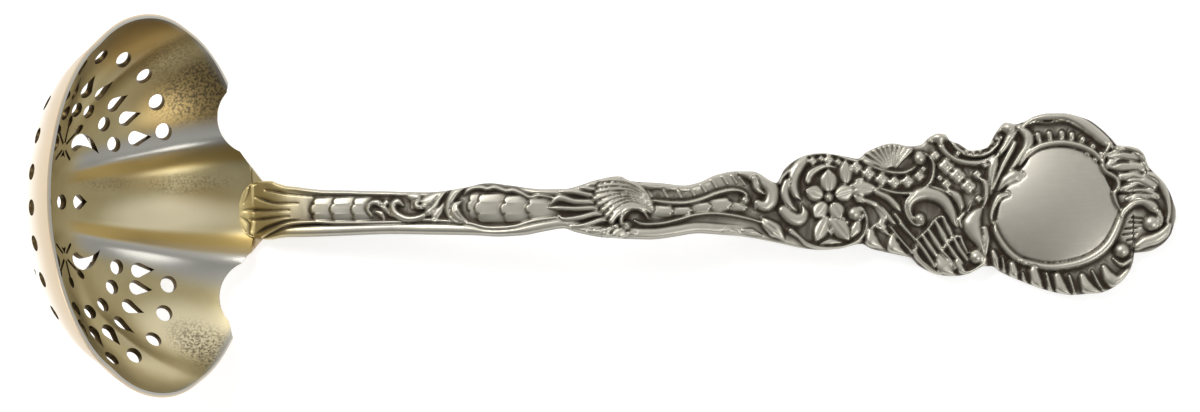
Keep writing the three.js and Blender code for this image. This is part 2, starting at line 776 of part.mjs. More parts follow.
const strandShares = [
  { grid: rootGrid, height: leafHeight, strands: [
    [[[1080, 392], [1050, 340], [1120, 297], [1200, 350], [1300, 428]], [30, 50, 62, 52, 16]],
    [[[1330, 318], [1252, 312], [1300, 402], [1450, 415], [1568, 330]], [30, 62, 70, 56, 46]],
  ] },
  { grid: stemGrid, height: leafHeight, strands: [
    [[[40, 372], [130, 262], [190, 200]], [70, 40, 12]],
    [[[335, 178], [212, 280], [218, 410], [348, 446]], [16, 74, 66, 12]],
    [[[310, 285], [248, 372], [345, 442]], [16, 96, 12]],
  ] },
  { grid: stemGrid, height: lineHeight, strands: [
    [[[1480, 150], [1340, 195], [1215, 205]], [50, 46, 14]],
    [[[1400, 240], [1200, 226], [1062, 240]], [56, 46, 16]],
    [[[1400, 300], [1180, 296], [990, 312]], [56, 54, 22]],
    [[[1400, 350], [1180, 352], [978, 347]], [54, 50, 20]],
    [[[1400, 392], [1200, 424], [1058, 408]], [54, 50, 16]],
    [[[1500, 490], [1370, 528], [1285, 524]], [60, 46, 14]],
  ] },
  { grid: knotGrid, height: scrollHeight, strands: [
    [[[395, 578], [345, 505], [195, 528], [212, 652], [240, 610]], [18, 52, 56, 48, 34]],
    [[[1150, 195], [1310, 250], [1410, 350], [1370, 462], [1285, 440]], [44, 116, 116, 106, 60]],
  ] },
  { grid: knotGrid, height: leafHeight, strands: [
    [[[290, 592], [500, 612], [760, 545], [1050, 538], [1330, 602]], [28, 34, 34, 34, 28]],
    [[[440, 428], [700, 442], [950, 365], [1140, 340], [1210, 400]], [32, 44, 44, 42, 30]],
    [[[1332, 562], [1400, 640], [1512, 742]], [20, 120, 20]],
  ] },
  { grid: bloomGrid, height: leafHeight, strands: [
    [[[210, 560], [320, 425], [480, 305], [700, 303], [900, 360]], [26, 30, 30, 30, 28]],
    [[[440, 352], [335, 490], [348, 650], [402, 705]], [60, 106, 78, 14]],
    [[[270, 545], [250, 640], [355, 795]], [70, 94, 18]],
    [[[235, 790], [372, 872], [422, 820], [398, 728]], [100, 126, 80, 14]],
    [[[705, 415], [545, 425], [455, 530]], [18, 62, 76]],
    [[[900, 760], [968, 870], [905, 1040], [700, 1116], [440, 1078], [300, 965]], [34, 36, 38, 40, 42, 60]],
    [[[783, 352], [790, 440], [788, 550]], [20, 120, 54]],
    [[[815, 590], [940, 620], [1072, 602]], [44, 130, 12]],
    [[[905, 610], [930, 512]], [100, 24]],
    [[[880, 650], [940, 722]], [100, 24]],
    [[[612, 850], [560, 950], [510, 1062]], [54, 122, 12]],
    [[[640, 860], [710, 930], [808, 1044]], [60, 140, 30]],
    [[[1000, 962], [1010, 1050], [1105, 1112]], [60, 120, 16]],
    [[[1190, 1012], [1200, 1100], [1312, 1172]], [60, 122, 16]],
    [[[920, 340], [1100, 432], [1300, 455], [1402, 398]], [28, 40, 40, 24]],
    [[[1485, 285], [1560, 420], [1465, 598], [1270, 636], [1075, 588]], [24, 44, 42, 40, 30]],
    [[[1060, 628], [1150, 672], [1262, 790]], [60, 76, 34]],
    [[[955, 700], [1120, 800], [1215, 900]], [50, 68, 32]],
  ] },
  { grid: fanGrid, height: scrollHeight, strands: [
    [[[108, 905], [78, 752], [236, 700], [372, 815], [430, 955]], [40, 90, 122, 108, 14]],
    [[[618, 800], [535, 920], [600, 1070], [640, 1165]], [18, 154, 84, 14]],
    [[[300, 300], [390, 425], [560, 468], [710, 415]], [60, 54, 50, 34]],
    [[[750, 225], [852, 205], [800, 330], [725, 425]], [34, 92, 68, 26]],
  ] },
  { grid: fanGrid, height: leafHeight, strands: [
    [[[370, 684], [440, 740], [450, 832]], [56, 80, 14]],
    [[[0, 925], [60, 990], [200, 968], [320, 868]], [34, 34, 32, 28]],
    [[[96, 1120], [150, 1200], [290, 1300]], [28, 32, 28]],
    [[[122, 1048], [180, 1130], [250, 1240]], [26, 36, 28]],
    [[[160, 1000], [215, 1090], [290, 1190]], [26, 42, 30]],
    [[[205, 960], [265, 1060], [325, 1150]], [26, 44, 32]],
    [[[262, 900], [320, 1010], [350, 1080]], [26, 48, 32]],
    [[[350, 1070], [400, 1150], [455, 1220]], [26, 44, 30]],
    [[[400, 1030], [440, 1110], [495, 1190]], [26, 44, 28]],
    [[[285, 1170], [320, 1240], [400, 1310]], [60, 120, 26]],
    [[[470, 1290], [605, 1240], [580, 1128]], [26, 64, 44]],
    [[[735, 405], [690, 550], [682, 700]], [20, 88, 24]],
    [[[866, 315], [782, 470], [700, 660]], [40, 56, 18]],
    [[[905, 205], [962, 330], [845, 500], [760, 610]], [56, 94, 52, 16]],
    [[[932, 560], [830, 575], [735, 675]], [18, 106, 20]],
    [[[800, 702], [702, 790], [690, 925]], [40, 62, 16]],
    [[[690, 1130], [705, 1180], [722, 1250]], [44, 66, 34]],
    [[[830, 1225], [845, 1290], [850, 1350]], [60, 78, 34]],
    [[[1000, 1320], [1035, 1430]], [76, 50]],
  ] },
  { grid: panelGrid, height: scrollHeight, strands: [
    [[[-40, 120], [150, 42], [380, 86], [590, 240], [655, 292]], [36, 86, 94, 90, 34]],
    [[[640, 262], [575, 400], [690, 545], [662, 650], [712, 790]], [34, 48, 50, 46, 30]],
    [[[740, 778], [650, 990], [400, 1190], [180, 1230], [-60, 1185]], [50, 58, 58, 58, 54]],
    [[[720, 830], [830, 722], [965, 760], [1018, 860], [930, 900]], [40, 76, 88, 72, 60]],
    [[[1090, 900], [980, 1005], [800, 1085]], [46, 104, 22]],
  ] },
  { grid: panelGrid, height: leafHeight, strands: [
    [[[690, 300], [840, 310], [925, 465]], [40, 80, 44]],
    [[[915, 500], [1045, 600], [1090, 800]], [50, 64, 36]],
    [[[640, 430], [740, 442], [880, 450]], [90, 120, 90]],
    [[[720, 520], [820, 530], [960, 600]], [60, 112, 90]],
    [[[70, 190], [85, 250]], [58, 50]],
    [[[425, 225], [395, 282]], [58, 50]],
    [[[505, 282], [465, 335]], [58, 50]],
    [[[25, 1275], [65, 1370]], [96, 66]],
    [[[205, 1315], [265, 1400]], [100, 66]],
    [[[400, 1310], [480, 1390]], [104, 72]],
    [[[575, 1245], [650, 1305], [745, 1250]], [60, 112, 60]],
  ] },
];
function strands() {
  return strandShares.flatMap((group) => (
    group.strands.map(([places, widths]) => strand(group.grid, places, widths, group.height))
  ));
}

// Overlapping husk leaves down the stem: base, free end, width

const huskShares = [
  [rootGrid, [770, 342], [590, 342], 184],
  [rootGrid, [935, 342], [742, 342], 188],
  [rootGrid, [1060, 345], [912, 345], 184],
  [stemGrid, [615, 345], [360, 345], 224],
  [stemGrid, [815, 352], [592, 352], 210],
  [stemGrid, [990, 352], [788, 352], 168],
  [knotGrid, [460, 510], [615, 512], 100],
  [knotGrid, [600, 512], [768, 505], 76],
  [knotGrid, [760, 490], [928, 468], 88],
  [knotGrid, [905, 470], [1092, 445], 116],
  [bloomGrid, [1200, 445], [1165, 215], 330],
];
function husks() {
  return huskShares.map((row) => leafBetween(...row));
}

// Petals of the open flower: base, tip, width

const petalShares = [
  [[635, 600], [635, 455], 134], [[600, 660], [435, 622], 126], [[600, 720], [505, 838], 124],
  [[665, 730], [738, 855], 132], [[700, 660], [855, 616], 130],
];

function petals() {
  return petalShares.map((row) => leafBetween(bloomGrid, ...row));
}

// Round eyes of the scrolls and of the flower: place, radius

const beadShares = [
  [bloomGrid, [637, 675], 40],
  [bloomGrid, [862, 812], 66],
  [bloomGrid, [1440, 330], 62],
  [fanGrid, [304, 275], 58],
  [fanGrid, [822, 205], 52],
  [fanGrid, [565, 1170], 56],
  [panelGrid, [715, 1100], 62],
];

function beads() {
  return beadShares.map(([grid, place, radius]) => {
    const size = gridWidth(grid, radius);
    return leaf(gridPoint(grid, place), 0, 2 * size, 2 * size, beadHeight);
  });
}

// The right half of the shell: ribs between three guide lines, from the shell's edge to its eye

const shellGuideShares = [
  [[438, 495], [380, 380], [264, 281], [148, 235], [41, 227]],
  [[429, 512], [338, 421], [223, 384], [91, 388], [-37, 413]],
  [[413, 528], [338, 483], [248, 470], [165, 512], [91, 594]],
];
const shellRibWidthShares = [24, 44, 58, 66, 64];
const shellRibCount = 8;

function shellRibs() {
  const ribs = [];
  for (let rib = 0; rib < shellRibCount; rib += 1) {
    const place = 2 * rib / (shellRibCount - 1);
    const before = Math.min(Math.floor(place), 1);
    const part = place - before;
    const mixed = shellGuideShares[before].map(([along, down], at) => {
      const [nextAlong, nextDown] = shellGuideShares[before + 1][at];
      return [THREE.MathUtils.lerp(along, nextAlong, part), THREE.MathUtils.lerp(down, nextDown, part)];
    });
    ribs.push(strand(knotGrid, mixed, shellRibWidthShares, shellRibHeight));
  }
  return ribs;
}

// The blank oval for a monogram: a flat raised panel inside a rounded ring

const cartouchePlaceShares = [0.872, -0.017];

function cartouche() {
  const [along, across] = cartouchePlaceShares;
  const centre = new THREE.Vector2(handleX(along), across * terminalWidth);
  const top = cartoucheLift + crownHeight;
  const panel = new THREE.CylinderGeometry(cartoucheRadius, cartoucheRadius, top + reliefEmbed, ringSides);
  panel.rotateX(Math.PI / 2);
  panel.translate(centre.x, centre.y, (top - reliefEmbed) / 2);
  const ring = new THREE.TorusGeometry(cartoucheRadius, cartoucheRingWidth / 2, 6, ringSides);
  ring.scale(1, 1, 2 * cartoucheRingHeight / cartoucheRingWidth);
  ring.translate(centre.x, centre.y, top);
  const level = () => terminalThickness - crownHeight;
  return [laid(panel, level), laid(ring, level)];
}

function handleSolid() {
  let handle = handleBlank();
  const relief = [
    ...husks(), ...shellRibs(), ...petals(), ...strands(), ...beads(), ...cartouche(),
  ];
  for (const form of relief) handle = handle.add(form);
  const under = -2 * bowlWall;
  const bed = toSolid(pressedShell(seatGap, under).applyMatrix4(bowlPlace));
  const slab = toSolid(lapSlab(lapLength + lapOverlap + seatGap, cuspSpread, under, seatGap, -lapOverlap));
  return handle.subtract(bed).subtract(slab);
}

// Solder film inside the lap, clear of both faces

function solderSheet() {
  const middle = seatGap / 2;
  const start = (lapLength - solderLength) / 2;
  return lapSlab(
    solderLength, solderWidth / 2, middle - solderThickness / 2, middle + solderThickness / 2, start,
  );
}

function addMesh(group, name, geometry, material) {
  const mesh = new THREE.Mesh(geometry, material);
  mesh.name = name;
  group.add(mesh);
}

// The origin is under the middle of the whole spoon, on the table

function centre(group) {
  const box = new THREE.Box3().setFromObject(group);
  const middle = box.getCenter(new THREE.Vector3());
  for (const mesh of group.children) mesh.geometry.translate(-middle.x, -middle.y, -box.min.z);
}

const sifter = new THREE.Group();
addMesh(sifter, 'bowl', toGeometry(bowlSolid()), gilt);
addMesh(sifter, 'handle', toGeometry(handleSolid()), silver);
addMesh(sifter, 'solder_seam', solderSheet(), solderGrey);
centre(sifter);

export default sifter;
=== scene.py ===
import math
from contextlib import contextmanager

import bmesh
import bpy
import numpy as np
from mathutils import Matrix, Vector
from mathutils.bvhtree import BVHTree


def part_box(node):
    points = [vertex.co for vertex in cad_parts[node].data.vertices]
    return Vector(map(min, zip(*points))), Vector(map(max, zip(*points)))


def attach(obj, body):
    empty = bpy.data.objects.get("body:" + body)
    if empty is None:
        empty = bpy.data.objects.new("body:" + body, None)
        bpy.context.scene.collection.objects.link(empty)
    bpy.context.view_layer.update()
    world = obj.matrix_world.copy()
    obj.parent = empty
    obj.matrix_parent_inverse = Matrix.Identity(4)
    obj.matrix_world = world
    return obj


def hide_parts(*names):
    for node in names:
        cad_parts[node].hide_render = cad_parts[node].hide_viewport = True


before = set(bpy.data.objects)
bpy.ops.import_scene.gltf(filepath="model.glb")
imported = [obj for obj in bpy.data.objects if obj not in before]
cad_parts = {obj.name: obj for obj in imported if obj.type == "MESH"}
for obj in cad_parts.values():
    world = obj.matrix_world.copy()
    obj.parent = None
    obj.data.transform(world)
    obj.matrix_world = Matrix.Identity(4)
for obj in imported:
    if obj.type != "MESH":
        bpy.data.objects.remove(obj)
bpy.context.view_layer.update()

# The looks of a silver sugar sifter: a gilt, fluted and pierced bowl soldered to a
# die-struck handle. Sizes are millimetres until a mesh is written in metres.

MM = 0.001
TINY = 1e-6

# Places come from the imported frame

handle_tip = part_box("handle")[1] / MM
seam_low, seam_high = [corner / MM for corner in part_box("solder_seam")]
HANDLE_LENGTH = 115.9
TERMINAL_WIDTH = 23.1
ROOT_X = handle_tip.x - HANDLE_LENGTH
DRAWN_ROOT_X = -43.1
SHIFT = Vector((ROOT_X - DRAWN_ROOT_X, (seam_low.y + seam_high.y) / 2, 0))

# Bowl: a dome with an oval rim, deepest a little in front of its middle, beaten thinner at the rim

WALL = 0.8
RIM_WALL = 0.48
RIM_THIN_START = 0.55
RIM_THIN_SIDES = (0.6, 0.85)
RIM_BACK = 20.1
RIM_FRONT = 22.8
RIM_HALF_WIDTH = 23.7
BOWL_DEPTH = 13.4
POLE_SETBACK = 3.5
CAP_ANGLE = math.radians(75)
BOWL_TILT = math.radians(58.4)
BOWL_ROLL = math.radians(0.8)
BOWL_TURN = math.radians(1.4)
BOWL_PLACE = Vector((-53.8, 0.9, 18.227)) + SHIFT
BOWL_MATRIX = (
    Matrix.Translation(BOWL_PLACE)
    @ Matrix.Rotation(BOWL_TURN, 4, "Z")
    @ Matrix.Rotation(BOWL_ROLL, 4, "X")
    @ Matrix.Rotation(BOWL_TILT, 4, "Y")
)

# Flutes: a trough along the bowl between two ridges, and three scallops on each side of it

FLUTE_CENTRE = 4.0
FLUTE_HEIGHT = 1.5
TROUGH_WAIST = 3.75
TROUGH_FLARE = 0.2
TROUGH_FLOOR = 0.55
SIDE_CREST_REACH = 13.5
SIDE_START = 9.0
SIDE_END = 21.0
RIM_FADE_START = 0.62
RIM_FLUTE = 0.25
FLANK_CURVE = 1.1
CREST_SOFTNESS = 0.75
SPOT_TURNS = 8
INNER_SPOT = 0.6
CALM_START = 2.0
CALM_END = 15.0
FRONT_START = 3.0
FRONT_END = 13.0
FRONT_FLUTE = 0.2

# The pressed pattern sits a little to one side of the middle, most of all near the middle

PATTERN_ASIDE = 0.98
PATTERN_REACH = 13.0

# Root of the bowl: a neck between two round bites

BITE_RADIUS = 4.55
BITE_X = -44.05
BITE_SPREAD = 11.3
ROOT_MIDDLE = 1.05
CUSP_SETBACK = 1.85
CUSP_SPREAD = 7.1
NECK_EDGE = [(-41.2, 2.65), (-42.5, 2.9), (-43.1, 3.65), (-43.7, 4.3)]
NECK_ASIDE = 0.75
LAP_LENGTH = 4.6
LAP_HALF_WIDTH = 6.4

# Piercing

HOLE = 2.0
SMALL_HOLE = 1.75
DROP_LENGTH = 3.1
DROP_WIDTH = 1.75
SLIT = 0.32
OUTER_RING = 18.0
DROP_RING = 15.1
SMALL_RING = 12.2
SUNBURST = 6.8
SUNBURST_BACK = 0.4
SUNBURST_START = 0.55
SUNBURST_SLIT = 2.1
AXIS_DROP = 3.6
AXIS_DROP_LENGTH = DROP_WIDTH + SMALL_HOLE / 3

# Handle blank

TONGUE_TIP = 0.28
TONGUE_BLEND = 0.03
STEM_THICKNESS = 3.1
TERMINAL_THICKNESS = 2.1
ARCH_HEIGHT = 8.2
ARCH_CREST = 0.32
ARCH_LAND = 0.8
STEM_END = 0.28
TERMINAL_START = 0.62
SEAT_GAP = 0.3
EDGE_ROUND = 0.45


def smoothstep(value, low, high):
    part = np.clip((value - low) / (high - low), 0, 1)
    return part * part * (3 - 2 * part)


# Bowl surface in the bowl's own frame: x towards the handle in the rim plane, z out of the mouth


def share_for_reach(x, y, reach):
    across = y**2 / RIM_HALF_WIDTH**2
    along = x + POLE_SETBACK
    a = 1 - POLE_SETBACK**2 / reach**2
    b = along * POLE_SETBACK / reach**2
    c = along**2 / reach**2 + across
    return (np.sqrt(b * b + a * c) - b) / a


def rim_share(x, y):
    back = share_for_reach(x, y, RIM_BACK)
    front = share_for_reach(x, y, RIM_FRONT)
    return np.where(x + POLE_SETBACK * (1 - back) > 0, back, front)


def dome_drop(share):
    angle = np.arcsin(np.clip(share * math.sin(CAP_ANGLE), 0, 1))
    return BOWL_DEPTH * (np.cos(angle) - math.cos(CAP_ANGLE)) / (1 - math.cos(CAP_ANGLE))


def dome_height(x, y):
    return -dome_drop(rim_share(x, y))


def trough_crest(along):
    return TROUGH_WAIST + TROUGH_FLARE * np.abs(along)


def side_crest(across):
    return SIDE_CREST_REACH * (across / RIM_HALF_WIDTH) ** 3


def aside_at(y):
    return PATTERN_ASIDE * (1 - smoothstep(np.abs(y), PATTERN_REACH / 2, PATTERN_REACH))


def sharp_flute(x, y):
    along = x + FLUTE_CENTRE
    across = np.abs(y - aside_at(y))
    crest = trough_crest(along)
    side = np.maximum(side_crest(across), TINY)
    faded = 1 - (1 - RIM_FLUTE) * smoothstep(rim_share(x, y), RIM_FADE_START, 1)
    trough_height = np.where(along > 0, 1, faded)
    flank = np.clip((across / crest - TROUGH_FLOOR) / (1 - TROUGH_FLOOR), 0, 1)
    in_trough = trough_height * flank**FLANK_CURVE
    side_height = faded * smoothstep(across, SIDE_START, SIDE_END)
    in_side = side_height * np.clip(np.abs(along) / side, 0, 1) ** 2
    past_trough = np.maximum(across - crest, 0)
    past_side = np.maximum(np.abs(along) - side, 0)
    part = past_trough / np.maximum(past_trough + past_side, TINY)
    between = (trough_height * (1 - part) + side_height * part) * (2 * part - 1) ** 2
    lift = np.where(across < crest, in_trough, np.where(past_side <= 0, in_side, between))
    calm = smoothstep(np.hypot(along, across), CALM_START, CALM_END)
    front = 1 - (1 - FRONT_FLUTE) * smoothstep(-along, FRONT_START, FRONT_END)
    return FLUTE_HEIGHT * lift * calm * front


# The press rounds every crest, so the height is a mean over a small round spot


def flute_lift(x, y):
    total = sharp_flute(x, y)
    for turn in range(SPOT_TURNS):
        angle = 2 * math.pi * turn / SPOT_TURNS
        step = CREST_SOFTNESS * (1 if turn % 2 else INNER_SPOT)
        total = total + sharp_flute(x + step * math.cos(angle), y + step * math.sin(angle))
    return total / (SPOT_TURNS + 1)


PROBE = RIM_HALF_WIDTH / 2000


def dome_normal(x, y):
    slope_x = (dome_height(x, y) - dome_height(x - PROBE, y)) / PROBE
    slope_y = (dome_height(x, y + PROBE) - dome_height(x, y)) / PROBE
    normal = np.stack([-slope_x, -slope_y, np.ones_like(slope_x)], axis=-1)
    return normal / np.linalg.norm(normal, axis=-1, keepdims=True)


def pressed_points(x, y, lift):
    base = np.stack([x, y, dome_height(x, y)], axis=-1)
    return base + dome_normal(x, y) * (flute_lift(x, y) + lift)[..., None]


def place_points(points, matrix):
    turned = points @ np.array(matrix.to_3x3()).T
    return turned + np.array(matrix.translation)


# Meshes


def new_mesh(name, bm):
    mesh = bpy.data.meshes.new(name)
    bm.to_mesh(mesh)
    bm.free()
    return mesh


@contextmanager
def edited(mesh):
    bm = bmesh.new()
    bm.from_mesh(mesh)
    yield bm
    bm.to_mesh(mesh)
    bm.free()


def grid_mesh(name, columns, rows, size=1):
    bm = bmesh.new()
    bmesh.ops.create_grid(bm, x_segments=columns, y_segments=rows, size=size)
    return new_mesh(name, bm)


def read_points(mesh):
    flat = np.empty(len(mesh.vertices) * 3)
    mesh.vertices.foreach_get("co", flat)
    return flat.reshape(-1, 3)


def write_points(mesh, points):
    mesh.vertices.foreach_set("co", points.ravel())
    mesh.update()


def add_object(name, data):
    thing = bpy.data.objects.new(name, data)
    bpy.context.scene.collection.objects.link(thing)
    return thing


def coat(piece, material):
    piece.data.materials.clear()
    piece.data.materials.append(material)


def keep_modified(piece):
    graph = bpy.context.evaluated_depsgraph_get()
    mesh = bpy.data.meshes.new_from_object(piece.evaluated_get(graph))
    piece.modifiers.clear()
    piece.data = mesh


def combine(piece, tool, operation):
    modifier = piece.modifiers.new("cut", "BOOLEAN")
    modifier.object = tool
    modifier.operation = operation
    modifier.solver = "MANIFOLD"
    keep_modified(piece)
    bpy.data.objects.remove(tool)


def set_attribute(mesh, name, values, domain="POINT"):
    layer = mesh.attributes.new(name, "FLOAT", domain)
    layer.data.foreach_set("value", np.asarray(values, dtype=np.float32))


def outline_prism(bm, outline, matrix, levels):
    """A closed tool along its own z: each level is a height and how much wider the outline is there."""
    corners = [bm.verts.new((x, y, levels[0][0])) for x, y in outline]
    face = bm.faces.new(corners)
    made = list(corners)
    for step, (height, wider) in enumerate(levels[1:]):
        result = bmesh.ops.extrude_face_region(bm, geom=[face])
        if step > 0:
            bm.faces.remove(face)
        face = next(part for part in result["geom"] if isinstance(part, bmesh.types.BMFace))
        middle = face.calc_center_median()
        for vert in face.verts:
            aside = Vector((vert.co.x - middle.x, vert.co.y - middle.y, 0))
            vert.co += aside.normalized() * wider
            vert.co.z = height
            made.append(vert)
    bmesh.ops.transform(bm, matrix=matrix, verts=made)


def tool_from(bm):
    bmesh.ops.recalc_face_normals(bm, faces=bm.faces)
    return add_object("tool", new_mesh("tool", bm))


# The pressed wall: one grid runs from the middle of the inner face to the rim, over it and back

BOWL_COLUMNS = 384
INNER_ROWS = 64
RIM_ROWS = 8
ROW_CROWDING = 0.85
WELD = 1e-4
SLIVER = 1e-5


def wall_at(share, ahead):
    """Full gauge in the middle and at the root, and beaten thinner towards the rest of the rim."""
    beaten = smoothstep(share, RIM_THIN_START, 1) * (1 - smoothstep(ahead, *RIM_THIN_SIDES))
    return WALL - (WALL - RIM_WALL) * beaten


def bowl_mesh():
    rows = 2 * INNER_ROWS + RIM_ROWS
    mesh = grid_mesh("bowl_sheet", BOWL_COLUMNS, rows)
    points = read_points(mesh)
    turn = np.round((points[:, 0] + 1) / 2 * BOWL_COLUMNS)
    row = np.round((points[:, 1] + 1) / 2 * rows)
    theta = 2 * math.pi * turn / BOWL_COLUMNS
    step = np.where(row <= INNER_ROWS, row, np.where(row >= INNER_ROWS + RIM_ROWS, rows - row, INNER_ROWS))
    round_part = np.clip((row - INNER_ROWS) / RIM_ROWS, 0, 1) * math.pi
    stop = 1 - WALL / 2 / RIM_HALF_WIDTH
    share = stop * (step / INNER_ROWS) ** ROW_CROWDING
    wall = wall_at(share / stop, np.cos(theta))
    lift = -wall / 2 * (1 - np.cos(round_part))
    reach = np.where(np.cos(theta) > 0, RIM_BACK, RIM_FRONT)
    x = share * reach * np.cos(theta) - POLE_SETBACK * (1 - share)
    y = share * RIM_HALF_WIDTH * np.sin(theta)
    placed = pressed_points(x, y, lift)
    out = wall / 2 * np.sin(round_part)
    placed[:, 0] += out * np.cos(theta)
    placed[:, 1] += out * np.sin(theta)
    write_points(mesh, place_points(placed, BOWL_MATRIX))
    with edited(mesh) as bm:
        bmesh.ops.remove_doubles(bm, verts=bm.verts, dist=WELD)
        bmesh.ops.dissolve_degenerate(bm, edges=bm.edges, dist=SLIVER)
        bmesh.ops.recalc_face_normals(bm, faces=bm.faces)
    return mesh


# Outlines of the punches, in the plane of the wall. The steps say how many points each curve has,
# and the shoulder and the neck are where a round head ends, in degrees from its middle.

ROUND_STEPS = 40
DROP_STEPS = 26
DROP_SHOULDER = 68
SLIT_STEPS = 6
PIN_STEPS = 24
PIN_NECK = 158
PIN_RADIUS = 0.42 * SMALL_HOLE
PIN_OVERLAP = 0.9 * PIN_RADIUS
PIN_SQUASH = 0.62
SHORT_SLIT = 0.75 * SUNBURST_SLIT


def arc(radius, start, end, count, centre=(0, 0), squash=1):
    angles = [math.radians(start + (end - start) * step / count) for step in range(count + 1)]
    return [(centre[0] + radius * math.cos(a), centre[1] + squash * radius * math.sin(a)) for a in angles]


def round_outline(diameter):
    return arc(diameter / 2, 0, 360, ROUND_STEPS)[:-1]


def drop_outline(length, width):
    head = (width - length) / 2
    return [(length / 2, 0)] + arc(width / 2, DROP_SHOULDER, 360 - DROP_SHOULDER, DROP_STEPS, (head, 0))


def slit_outline(length):
    return [(0, -SLIT / 2)] + arc(SLIT / 2, -90, 90, SLIT_STEPS, (length, 0)) + [(0, SLIT / 2)]


def pin_outline():
    middle = (SUNBURST_SLIT + PIN_OVERLAP, 0)
    head = arc(PIN_RADIUS, -PIN_NECK, PIN_NECK, PIN_STEPS, middle, PIN_SQUASH)
    return [(0, -SLIT / 2)] + head + [(0, SLIT / 2)]


def curve_points(corners, count):
    """Curved edges, each through three guide places, joined into one outline."""
    outline = []
    for start, guide, end in corners:
        for step in range(count):
            t = step / count
            outline.append(tuple(
                (1 - t) ** 2 * s + 2 * t * (1 - t) * g + t * t * e for s, g, e in zip(start, guide, end)
            ))
    return outline


# The comma and the pendant of a sunburst, in shares of its distance from the middle of the bowl

COMMA_SHARES = [
    ((-0.02, 0.26), (0.04, 0.2), (0.14, 0.24)), ((0.14, 0.24), (0.25, 0.3), (0.26, 0.5)),
    ((0.26, 0.5), (0.26, 0.8), (-0.08, 0.95)), ((-0.08, 0.94), (0.06, 0.74), (0.03, 0.55)),
    ((0.03, 0.55), (0, 0.45), (-0.06, 0.4)), ((-0.06, 0.4), (-0.09, 0.3), (-0.02, 0.26)),
]
COMMA_STEPS = 6
PENDANT_SHARES = [(-0.05, 0), (-0.19, 0.07), (-0.15, 0), (-0.19, -0.07)]


def comma_outline(side):
    return [(x * SUNBURST, side * y * SUNBURST) for x, y in curve_points(COMMA_SHARES, COMMA_STEPS)]


def pendant_outline():
    return [(x * SUNBURST, y * SUNBURST) for x, y in PENDANT_SHARES]


# A punch is square to the wall, and its mouth is worn a little wider on the inside

PUNCH_REACH = 3.1
WORN_MOUTH = 0.1
COMMA_MOUTH = 0.05
SLIT_MOUTH = 0.03


def punch(bm, outline, x, y, outward, worn=WORN_MOUTH):
    spot_x, spot_y = np.array([float(x)]), np.array([float(y)])
    up = Vector(dome_normal(spot_x, spot_y)[0])
    lift = float(flute_lift(spot_x, spot_y)[0])
    along = Vector((outward[0], outward[1], 0))
    along = (along - up * along.dot(up)).normalized()
    across = up.cross(along)
    base = Vector((x, y, float(dome_height(spot_x, spot_y)[0])))
    place = Matrix.Translation(base) @ Matrix((along, across, up)).transposed().to_4x4()
    levels = [(-PUNCH_REACH, 0), (lift - 2 * worn, 0), (lift + worn / 2, worn), (lift + PUNCH_REACH, worn)]
    outline_prism(bm, outline, BOWL_MATRIX @ place, levels)


def ring_place(radius, degrees, centre=(-FLUTE_CENTRE, 0)):
    angle = math.radians(degrees)
    return centre[0] + radius * math.cos(angle), centre[1] + radius * math.sin(angle)


# Each hole of a ring: degrees from the handle, then share of the ring's mean radius

OUTER_HOLES = [
    (33.7, 0.984), (45.6, 1.037), (59.2, 1.073), (75.9, 1.077), (88.8, 1.04),
    (104, 1.01), (119, 0.985), (133, 0.955), (149, 0.93), (165, 0.915),
]
DROPS_ABOVE = [
    (37.4, 0.987), (48.8, 1.017), (60.4, 1.021), (75.5, 1.028), (86, 1.013), (98, 1.01),
    (109, 1), (120, 0.985), (131, 0.965), (142, 0.945), (152, 0.925),
]
DROPS_BELOW = [
    (33.6, 0.946), (42.2, 0.998), (53.7, 1.03), (66.4, 1.07), (79.6, 1.084), (89.2, 1.06),
    (101.5, 1.035), (113, 1.01), (124.5, 0.985), (136, 0.96), (147, 0.935),
]
SMALL_HOLES_ABOVE = [
    (44.8, 0.961), (59, 1.021), (77, 1.03), (88.3, 1.015), (101, 1), (115, 0.97), (129, 0.94), (143, 0.9),
]
SMALL_HOLES_BELOW = [
    (41.2, 0.915), (54.2, 0.99), (69.8, 1.05), (84.5, 1.06), (98, 1.03), (113, 1), (128, 0.96), (143, 0.91),
]


def round_punches():
    bm = bmesh.new()
    places = [ring_place(OUTER_RING * OUTER_HOLES[-1][1], 180)]
    for side in (1, -1):
        places += [ring_place(OUTER_RING * share, side * angle) for angle, share in OUTER_HOLES]
    for x, y in places:
        punch(bm, round_outline(HOLE), x, y, (1, 0))
    for side, holes in ((1, SMALL_HOLES_ABOVE), (-1, SMALL_HOLES_BELOW)):
        for angle, share in holes:
            x, y = ring_place(SMALL_RING * share, side * angle)
            punch(bm, round_outline(SMALL_HOLE), x, y, (1, 0))
    for side, drops in ((1, DROPS_ABOVE), (-1, DROPS_BELOW)):
        for angle, share in drops:
            x, y = ring_place(DROP_RING * share, side * angle)
            outward = (x + FLUTE_CENTRE, y - side * SUNBURST)
            punch(bm, drop_outline(DROP_LENGTH, DROP_WIDTH), x, y, outward)
    punch(bm, round_outline(SMALL_HOLE), -FLUTE_CENTRE, PATTERN_ASIDE, (1, 0))
    for side in (1, -1):
        outline = drop_outline(AXIS_DROP_LENGTH, SMALL_HOLE)
        punch(bm, outline, side * AXIS_DROP - FLUTE_CENTRE, PATTERN_ASIDE, (side, 0))
    return tool_from(bm)


# Rays of each sunburst, in degrees from straight outwards

PIN_RAYS = (-45, 0, 45)
SLIT_RAYS = (135, 225)


